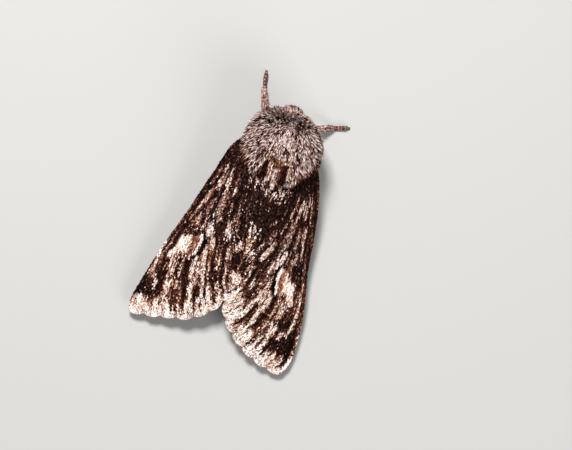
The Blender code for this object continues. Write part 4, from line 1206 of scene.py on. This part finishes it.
def leg_tone(x, y, z):
    """Pinkish brown above, darker toward the foot."""
    return 0.54 + 0.40 * ripple(x * 5, y * 5, z * 5, seed=231) - 0.08 * (z < 0.6), 0.42


def fur_ramp(tone, rust):
    return two_ramps(tone, rust, FUR_TONES, FUR_GREY, FUR_RUST)


# ---- The skin of the body
SKIN_VOXEL = 0.084
SKIN_SOFTENING = 6
SKIN_FLOOR = 0.004
SKIN_SHADE = 0.75
BODY_NODES = ("head", "collar", "thorax", "tegula_l", "tegula_r", "abdomen", "palp_l", "palp_r", *LEGS)


def remeshed_body(forms):
    """One closed mesh round all the forms."""
    points, faces = joined_shells([form.shell() for form in forms.values()])
    rough = make_object("rough_body", points, faces)
    remesh = rough.modifiers.new("one_skin", "REMESH")
    remesh.mode = "VOXEL"
    remesh.voxel_size = SKIN_VOXEL * MM
    soften = rough.modifiers.new("soften", "SMOOTH")
    soften.factor = 0.5
    soften.iterations = SKIN_SOFTENING
    graph = bpy.context.evaluated_depsgraph_get()
    graph.update()
    mesh = bpy.data.meshes.new_from_object(rough.evaluated_get(graph))
    bpy.data.objects.remove(rough)
    mesh.name = "body_skin"
    return mesh


def skin_tone(x, y, z):
    """The markings of the coat over each place, from the thorax back and out along the legs."""
    behind = step_between(y, -12.2, -11.2)
    beyond = step_between(np.maximum(np.abs(x) - 2.6, 0) + np.maximum(-21.3 - y, 0), 0.2, 1.0) * (z < 3.0)
    over = zip(thorax_tone(x, y, z + 0.6), abdomen_tone(x, y, z), leg_tone(x, y, z))
    return [blend(blend(thorax, abdomen, behind), leg, beyond) for thorax, abdomen, leg in over]


def build_body_skin(forms):
    """One closed skin over head, thorax, abdomen, palps and legs."""
    mesh = remeshed_body(forms)
    place = np.empty(len(mesh.vertices) * 3, np.float32)
    mesh.vertices.foreach_get("co", place)
    place = place.reshape(-1, 3).astype(float)
    place[:, 2] = np.maximum(place[:, 2], SKIN_FLOOR * MM)
    mesh.vertices.foreach_set("co", place.astype(np.float32).ravel())
    tone, rust = skin_tone(*(place / MM - SHIFT).T)
    paint(mesh, fur_ramp(tone * SKIN_SHADE, rust))
    mesh.polygons.foreach_set("use_smooth", np.ones(len(mesh.polygons), bool))
    mesh.materials.clear()
    mesh.materials.append(skin_look)
    mesh.update()
    skin = bpy.data.objects.new("body_skin", mesh)
    bpy.context.scene.collection.objects.link(skin)
    add_piece(skin, "fur", *BODY_NODES)


# ---- Fur
# Length, width and sink are millimetres, and lift is an angle in radians. sink is how deep the root
# lies, and root_shade how much of its colour is left there.
Hair = namedtuple("Hair", "length width lift curl clump root_shade tone_spread sink",
                  defaults=(0.25, 0.03, 0.46, 0.05))
HAIR_COUNTS = {"thorax_top": 36000, "chest": 23000, "abdomen": 21000, "head": 16000, "palp": 3200,
               "leg": 7000}
CHEST_HAIR = Hair(1.10, 0.085, 0.50, 0.24)
ABDOMEN_HAIR = Hair(0.85, 0.095, 0.32, 0.18)
FACE_HAIR = Hair(0.52, 0.055, 0.62, 0.25, clump=0.07, sink=0.03)
CROWN_HAIR = Hair(0.98, 0.095, 0.66, 0.25, clump=0.07, sink=0.03)
PALP_HAIR = Hair(0.34, 0.045, 0.40, 0.15, sink=0.02)
LEG_HAIR = Hair(0.40, 0.065, 0.34, 0.16, clump=0.12, root_shade=0.5, sink=0.015)
FOOT_HAIR = Hair(0.22, 0.055, 0.30, 0.12, clump=0.12, root_shade=0.5, sink=0.015)
HAIR_TWIST = 0.55
FLOOR_CLEARANCE = 0.012
# Shade turns warmer as it deepens: the power of it in red, green and blue.
ROOT_WARMTH = (1.0, 1.22, 1.18)


def fur(name, slot, form, v, w, flow, hair, tone_of, seed):
    """Hair-like scales: flow gives the lie of the coat, hair.lift how far each stands up from it."""
    rng = np.random.default_rng(seed)
    count = len(v)
    root = form.at(v, w)
    normal = form.normal_at(v, w)
    lie = flow(*root.T)
    gather = np.stack([ripple(*(root * 2.3).T, seed=seed + k) for k in (1, 2, 3)], -1)
    loose = rng.normal(0, 0.19, (count, 3))
    lie = lie / np.maximum(np.linalg.norm(lie, axis=-1, keepdims=True), 0.7) + gather * hair.clump * 2 + loose
    forward = unit(lie - normal * np.sum(lie * normal, -1, keepdims=True))
    lengths = hair.length * rng.uniform(0.70, 1.20, count)
    widths = hair.width * rng.uniform(0.75, 1.25, count)
    lifts = hair.lift + rng.normal(0, 0.10, count) + 0.25 * gather[:, 0]
    curls = hair.curl * rng.uniform(0.6, 1.4, count)
    sunk = root - normal * hair.sink
    made = blades(sunk, forward, normal, lengths, widths, lifts, curls, HAIR_ROWS, rng, HAIR_TWIST)
    points, shares, _ = made
    points[..., 2] = np.maximum(points[..., 2], FLOOR_CLEARANCE)
    tips = root + (points[:, -1] - root) * 0.75
    tone, rust = tone_of(*tips.T)
    tone = tone + rng.normal(0, hair.tone_spread, count) * (0.12 + 1.25 * np.clip(tone, 0, 0.7))
    colour = fur_ramp(tone, rust) * rng.uniform(0.88, 1.10, count)[:, None]
    # Each hair is darker and warmer toward its root: partly its own colour, partly painted shade from the
    # coat over it.
    lit = np.clip((shares - 0.25) * 1.9, 0, 1) ** 1.3
    dark = np.broadcast_to(hair.root_shade, count)[:, None]
    shade = dark + (1 - dark) * lit[None, :]
    colours = colour[:, None] * shade[..., None] ** ROOT_WARMTH
    add_piece(coat_object(name, made, w, v, colours, fur_look), slot)


# Where the collar's coat ends, the abdomen's begins and the crown's takes over from the face's.
COLLAR_END = -19.9
ABDOMEN_START = -12.0
CROWN_HEIGHT = 4.5


def directions(x, y, z):
    return np.stack(np.broadcast_arrays(x, y, z), -1)


def backward(x, y, z):
    return directions(0.0 * x, 1.0, 0.0)


def thorax_flow(x, y, z):
    """Back along the body and outward on the shoulders; the front of the collar leans over the head."""
    outward = np.sign(x) * step_between(np.abs(x), 0.5, 2.5)
    down = -0.25 * step_between(np.abs(x), 2.5, 4.0)
    front = 1 - step_between(y, -21.7, -20.0)
    return directions(0.30 * outward + 0.22 * front * x, 1.0 - 2.2 * front, down + 0.25 * front)


def face_flow(x, y, z):
    """Over the face the hairs lean forward and meet in a low ridge; on the crown they rise."""
    crown = step_between(z, 4.3, 5.2)
    return directions(blend(-0.35 * np.sign(x), 0.55 * x + 0.35, crown), -1.0, 0.35 + 0.25 * crown)


def nearest_ring(form, x, y, z):
    """The number of the ring of a limb that each place is nearest to."""
    place, middle = np.stack([x, y, z], -1), form.middle()
    return np.concatenate([
        np.linalg.norm(part[:, None] - middle[None], axis=-1).argmin(axis=1)
        for part in np.array_split(place, 1 + len(place) // 4000)
    ])


def outward_along(form):
    """The lie of the coat on a limb: along it, toward its end."""
    ahead = unit(np.gradient(form.middle(), axis=0))
    return lambda x, y, z: ahead[nearest_ring(form, x, y, z)]


def top_weight(x, y, z):
    covered = (z > 4.2) & (y < -12.6) & ((np.abs(x) < 1.6) | (y < -14.2))
    return np.where(covered, 1.9 - 0.9 * step_between(y, -20.9, -19.4), 0.0)


def chest_weight(x, y, z):
    return np.where(z <= 4.6, 1.0, 0.0) * np.where(y > -12.6, 0.4, 1.0)


def build_thorax_top(thorax, rng):
    """Collar, shoulder pads, crest and the roots of the wings, each with its own length and lift."""
    v, w = thorax.scatter(HAIR_COUNTS["thorax_top"], rng, top_weight)
    x, y, _ = thorax.at(v, w).T
    collar = y < COLLAR_END
    outside = ~collar & (np.abs(x) > 1.5) & (pad_reach(x, y) < 0.9)
    left, right = (~collar & ~outside & (sign * x > 1.1) for sign in SIGN.values())
    middle = ~(collar | left | right | outside)
    front = 1 - step_between(y, -20.9, -18.9)
    rear = step_between(y, -17.0, -16.2)
    near = 1 - step_between(np.abs(x), 1.3, 2.0)
    brow = 1 - step_between(y, -21.6, -20.7)
    fuller = front * step_between(x, 0.6, 2.0)
    lift = np.where(outside, 0.34, 0.64 - 0.14 * rear - 0.14 * rear * middle + 0.34 * front) - 0.22 * brow
    length = np.where(outside, 0.62, np.where(middle, 1.10 - 0.42 * rear, 1.28 - 0.34 * near * rear))
    length = length * (1 - 0.36 * front + 0.56 * brow + 0.45 * fuller)
    # Painted shade at the roots of the hairs, lighter toward the front of the collar, where the upright hairs
    # show their roots.
    root_shade = 0.02 + 0.30 * (1 - step_between(y, -20.2, -18.6))
    regions = {"collar_fur": collar, "shoulder_fur_l": left, "shoulder_fur_r": right, "crest_fur": middle,
               "wing_root_fur": outside}
    for number, (name, chosen) in enumerate(regions.items()):
        hair = Hair(length[chosen], 0.120, lift[chosen], 0.10, 0.10, root_shade[chosen], 0.62)
        fur(name, "fur", thorax, v[chosen], w[chosen], thorax_flow, hair, thorax_tone, 310 + 10 * number)


def build_body_fur(forms):
    thorax, abdomen = forms["thorax"], forms["abdomen"]
    rng = np.random.default_rng(301)
    build_thorax_top(thorax, rng)
    v, w = thorax.scatter(HAIR_COUNTS["chest"], rng, chest_weight)
    fur("chest_fur", "fur", thorax, v, w, thorax_flow, CHEST_HAIR, thorax_tone, 360)
    v, w = abdomen.scatter(HAIR_COUNTS["abdomen"], rng, lambda x, y, z: y > ABDOMEN_START)
    fur("abdomen_fur", "fur", abdomen, v, w, backward, ABDOMEN_HAIR, abdomen_tone, 370)


def face_weight(x, y, z):
    away = np.linalg.norm(np.stack([np.abs(x), y, z], -1) - EYE_CENTRE, axis=-1)
    return np.where(away < EYE_RADIUS * 1.02, 0.0, 1.0) * np.where(y > -20.0, 0.3, 1.0)


def build_face(forms):
    rng = np.random.default_rng(401)
    head = forms["head"]
    v, w = head.scatter(HAIR_COUNTS["head"], rng, face_weight)
    crown = head.at(v, w)[:, 2] > CROWN_HEIGHT
    fur("face_fur", "fur", head, v[~crown], w[~crown], face_flow, FACE_HAIR, head_tone, 410)
    fur("crown_fur", "fur", head, v[crown], w[crown], face_flow, CROWN_HAIR, crown_tone, 411)
    for number, side in enumerate(SIGN):
        palp = forms["palp_" + side]
        v, w = palp.scatter(HAIR_COUNTS["palp"], rng, everywhere)
        fur("palp_fur_" + side, "fur", palp, v, w, outward_along(palp), PALP_HAIR, palp_tone, 420 + number)


def banded_leg_tone(form, foot_start):
    """A leg's colours, with dark brown joints on the foot, each with a pale ring at its far end."""
    reached = path_lengths(form.middle())

    def tone_of(x, y, z):
        share = reached[nearest_ring(form, x, y, z)] / reached[-1]
        foot = step_between(share, foot_start - 0.02, foot_start + 0.02)
        joint = np.mod((share - foot_start) / (1 - foot_start) * FOOT_JOINTS, 1.0)
        tone, rust = leg_tone(x, y, z)
        return blend(tone, 0.30 + 0.34 * step_between(joint, 0.66, 0.80), foot), rust
    return tone_of


def build_leg_fur(forms):
    for number, (name, leg) in enumerate(LEGS.items()):
        form = forms[name]
        reached = path_lengths(np.array(leg)[:, :3])
        foot_start = reached[FOOT_POINT] / reached[-1]
        v, w = form.scatter(HAIR_COUNTS["leg"], np.random.default_rng(500 + number), everywhere)
        flow, tone_of = outward_along(form), banded_leg_tone(form, foot_start)
        parts = ((v < foot_start, "hair", LEG_HAIR), (v >= foot_start, "foot", FOOT_HAIR))
        for step, (chosen, part, hair) in enumerate(parts):
            seed = 520 + 2 * number + step
            fur(f"{name}_{part}", "leg", form, v[chosen], w[chosen], flow, hair, tone_of, seed)


# ---- Eyes, feelers and claws
FACET_DOME = 0.0022
EYE_SHARE = 0.99
FOOT_JOINTS = 5
ANTENNA_SEGMENTS = 88
SEGMENT_CUTS = 4
STEM_COLUMNS = 11
CLAW_COLOUR = (0.030, 0.018, 0.012)
CLAW_HEIGHTS = (0.13, 0.14, 0.08, 0.025)
CLAW_RADII = (0.045, 0.036, 0.024, 0.006)
SPUR_RADII = (0.050, 0.046, 0.010)
BRANCH_RADII = (0.026, 0.019, 0.008)


def icosphere(subdivisions):
    ball = bmesh.new()
    bmesh.ops.create_icosphere(ball, subdivisions=subdivisions, radius=1.0)
    points = np.array([vert.co[:] for vert in ball.verts])
    faces = np.array([[vert.index for vert in face.verts] for face in ball.faces])
    ball.free()
    return points, faces


def build_eye(side):
    """A ball of small raised facets, each a shallow dome."""
    facets, _ = icosphere(5)
    points, faces = icosphere(6)
    tree = KDTree(len(facets))
    for index, point in enumerate(facets):
        tree.insert(point, index)
    tree.balance()
    apart = np.array([tree.find(point)[2] for point in points])
    dome = 1.0 - FACET_DOME * np.clip(apart / np.quantile(apart, 0.98), 0, 1.2) ** 2
    places = mirrored(EYE_CENTRE, side) + points * (EYE_RADIUS * EYE_SHARE * dome)[:, None]
    eye = make_object(f"eye_facets_{side}", places, faces, eye_look)
    add_piece(eye, "eye", f"eye_{side}")


def joined_shells(shells):
    points, faces, total = [], [], 0
    for more, cells in shells:
        points.append(more)
        faces.append(cells + total)
        total += len(more)
    return np.concatenate(points), np.concatenate(faces)


def horn_object(name, limbs):
    """One mesh of limbs, each a (shell, colour)."""
    points, faces = joined_shells([shell for shell, _ in limbs])
    colours = np.concatenate([np.broadcast_to(colour, shell[0].shape) for shell, colour in limbs])
    return make_object(name, points, faces, horn_look, colours)


def limb(path, radii, rows, columns):
    return tube_form(np.array(path), radii, rows, columns).shell()


def antenna_stem(centres, share):
    """A tapering stem that swells at each ring, with paler and darker rings in turn."""
    beat = np.abs(np.sin(share * ANTENNA_SEGMENTS * math.pi)) ** 0.5
    thick = (0.115 - 0.075 * share) * (0.82 + 0.18 * beat) * (1 + 0.9 * bell(share, 0.018))
    ring = np.repeat((np.arange(len(centres)) // SEGMENT_CUTS) % 2, STEM_COLUMNS - 1)
    tone = np.concatenate([0.30 + 0.32 * ring, [0.3, 0.3]])
    return limb(centres, thick, len(centres), STEM_COLUMNS), fur_ramp(tone, 0.6)


def build_antenna(side):
    """A ringed stem with two rows of fine branches, longest a third of the way along."""
    share = np.linspace(0.0, 1.0, ANTENNA_SEGMENTS * SEGMENT_CUTS + 1)
    centres = along(mirrored(ANTENNA_PATH, side), share)
    ahead = unit(np.gradient(centres, axis=0))
    limbs = [antenna_stem(centres, share)]
    branch_colour = fur_ramp(0.34, 0.8)
    for segment in range(3, ANTENNA_SEGMENTS - 1):
        at = segment * SEGMENT_CUTS + SEGMENT_CUTS // 2
        start, onward = centres[at], ahead[at]
        across = unit(np.cross(onward, UP))
        down = np.cross(across, onward)
        reach = 0.05 + 0.34 * math.sin(math.pi * (segment / ANTENNA_SEGMENTS) ** 0.62) ** 0.7
        for turn in (-1.0, 1.0):
            out = unit(across * turn * 0.86 + down * 0.30)
            bend = start + out * reach * 0.55 + onward * reach * 0.18
            end = start + out * reach * 0.92 + onward * reach * 0.52
            limbs.append((limb((start, bend, end), BRANCH_RADII, 5, 6), branch_colour))
    add_piece(horn_object(f"antenna_branches_{side}", limbs), "antenna", f"antenna_{side}")


def claw(end, ahead, across):
    start = end - ahead * 0.02
    middle = start + ahead * 0.13 + across * 0.08
    tip = start + ahead * 0.24 + across * 0.11
    line = np.array([start, middle, (middle + tip) / 2, tip])
    line[:, 2] = CLAW_HEIGHTS
    return limb(line, CLAW_RADII, 9, 8)


def spur(shin, ahead, across):
    start = shin + across * 0.12
    tip = start + ahead * 0.62 + across * 0.24 - 0.05 * UP
    return limb((start, (start + tip) / 2 + 0.05 * UP, tip), SPUR_RADII, 8, 8)


def build_claws():
    """Two small curved claws at the end of each foot, and the spurs of the hinder shins."""
    limbs = []
    for name, leg in LEGS.items():
        path = np.array(leg)[:, :3]
        ahead = unit(path[-1] - path[-2])
        across = unit(np.cross(ahead, UP))
        limbs += [(claw(path[-1], ahead, across * turn), CLAW_COLOUR) for turn in (-1.0, 1.0)]
        if not name.startswith("foreleg"):
            spur_colour = fur_ramp(0.62, 0.7)
            limbs += [(spur(path[SPUR_POINT], ahead, across * turn), spur_colour) for turn in (-1.0, 1.0)]
    add_piece(horn_object("claws", limbs), "leg")


# ---- Floor, light and camera
FLOOR_REACH = 1.5
FLOOR_ROUGHNESS = 0.9
FLOOR_COLOUR = (0.40, 0.396, 0.385, 1.0)
SKY_COLOUR = (1.0, 0.99, 0.97, 1.0)
AMBIENT = 0.20
BACKDROP = 0.085
# Each light's place in metres, size and power.
LIGHTS = {"key": ((0.10, -0.14, 0.26), 0.07, 1.62), "fill": ((-0.20, 0.16, 0.16), 0.20, 0.66)}
PICTURE_WIDTH = 572
DOTS_PER_MM = 9.0
LENS = 200.0
SENSOR = 36.0
SIDE_LEAN = math.radians(4.7)
BODY_TURN = math.radians(19.0)
AIM = (-2.85, -9.38, 9.2)
SCALE_HEIGHT = 5.0


def build_stage():
    mesh = bpy.data.meshes.new("floor")
    corners = [(x * FLOOR_REACH, y * FLOOR_REACH, 0) for x, y in ((-1, -1), (1, -1), (1, 1), (-1, 1))]
    mesh.from_pydata(corners, [], [(0, 1, 2, 3)])
    floor = bpy.data.objects.new("floor", mesh)
    bpy.context.scene.collection.objects.link(floor)
    look, shader = new_material("floor", FLOOR_ROUGHNESS, 0.5)
    shader.inputs["Base Color"].default_value = FLOOR_COLOUR
    mesh.materials.append(look)


def build_lights():
    for name, (place, size, power) in LIGHTS.items():
        light = bpy.data.lights.new(name, "AREA")
        light.size = size
        light.energy = power
        obj = bpy.data.objects.new(name, light)
        obj.location = place
        obj.rotation_euler = (-Vector(place)).to_track_quat("-Z", "Y").to_euler()
        bpy.context.scene.collection.objects.link(obj)


def build_world():
    """Even light from all round, with a darker backdrop where the camera looks past the floor."""
    world = bpy.data.worlds.new("studio")
    world.use_nodes = True
    nodes, links = world.node_tree.nodes, world.node_tree.links
    sight = nodes.new("ShaderNodeLightPath")
    strength = nodes.new("ShaderNodeMapRange")
    strength.inputs["To Min"].default_value = AMBIENT
    strength.inputs["To Max"].default_value = BACKDROP
    links.new(sight.outputs["Is Camera Ray"], strength.inputs["Value"])
    links.new(strength.outputs["Result"], nodes["Background"].inputs["Strength"])
    nodes["Background"].inputs["Color"].default_value = SKY_COLOUR
    bpy.context.scene.world = world


def build_camera():
    """Straight above, leaning a little to the moth's left, and turned so that the head points
    to the upper right."""
    across = Vector((-math.cos(SIDE_LEAN), 0.0, math.sin(SIDE_LEAN)))
    tailward = Vector((0.0, 1.0, 0.0))
    back = Vector((math.sin(SIDE_LEAN), 0.0, math.cos(SIDE_LEAN)))
    right = across * math.cos(BODY_TURN) - tailward * math.sin(BODY_TURN)
    up = -across * math.sin(BODY_TURN) - tailward * math.cos(BODY_TURN)
    away = (PICTURE_WIDTH / DOTS_PER_MM) * LENS / SENSOR - (AIM[2] - SCALE_HEIGHT)
    place = (Vector(AIM) + Vector(SHIFT)) * MM + back * away * MM
    data = bpy.data.cameras.new("camera")
    data.lens = LENS
    data.sensor_width = SENSOR
    data.clip_start = 0.01
    data.clip_end = 10.0
    camera = bpy.data.objects.new("camera", data)
    camera.matrix_world = Matrix.Translation(place) @ Matrix((right, up, back)).transposed().to_4x4()
    bpy.context.scene.collection.objects.link(camera)
    bpy.context.scene.camera = camera


def build_moth():
    for seed, side in enumerate(SIGN, 5):
        build_forewing(side, seed)
    for seed, side in enumerate(SIGN, 105):
        build_hindwing(side, seed)
    forms = build_forms()
    build_body_skin(forms)
    build_body_fur(forms)
    build_face(forms)
    build_leg_fur(forms)
    for side in SIGN:
        build_eye(side)
        build_antenna(side)
    build_claws()


bpy.context.scene.view_settings.view_transform = "Standard"
build_moth()
build_stage()
build_lights()
build_world()
build_camera()
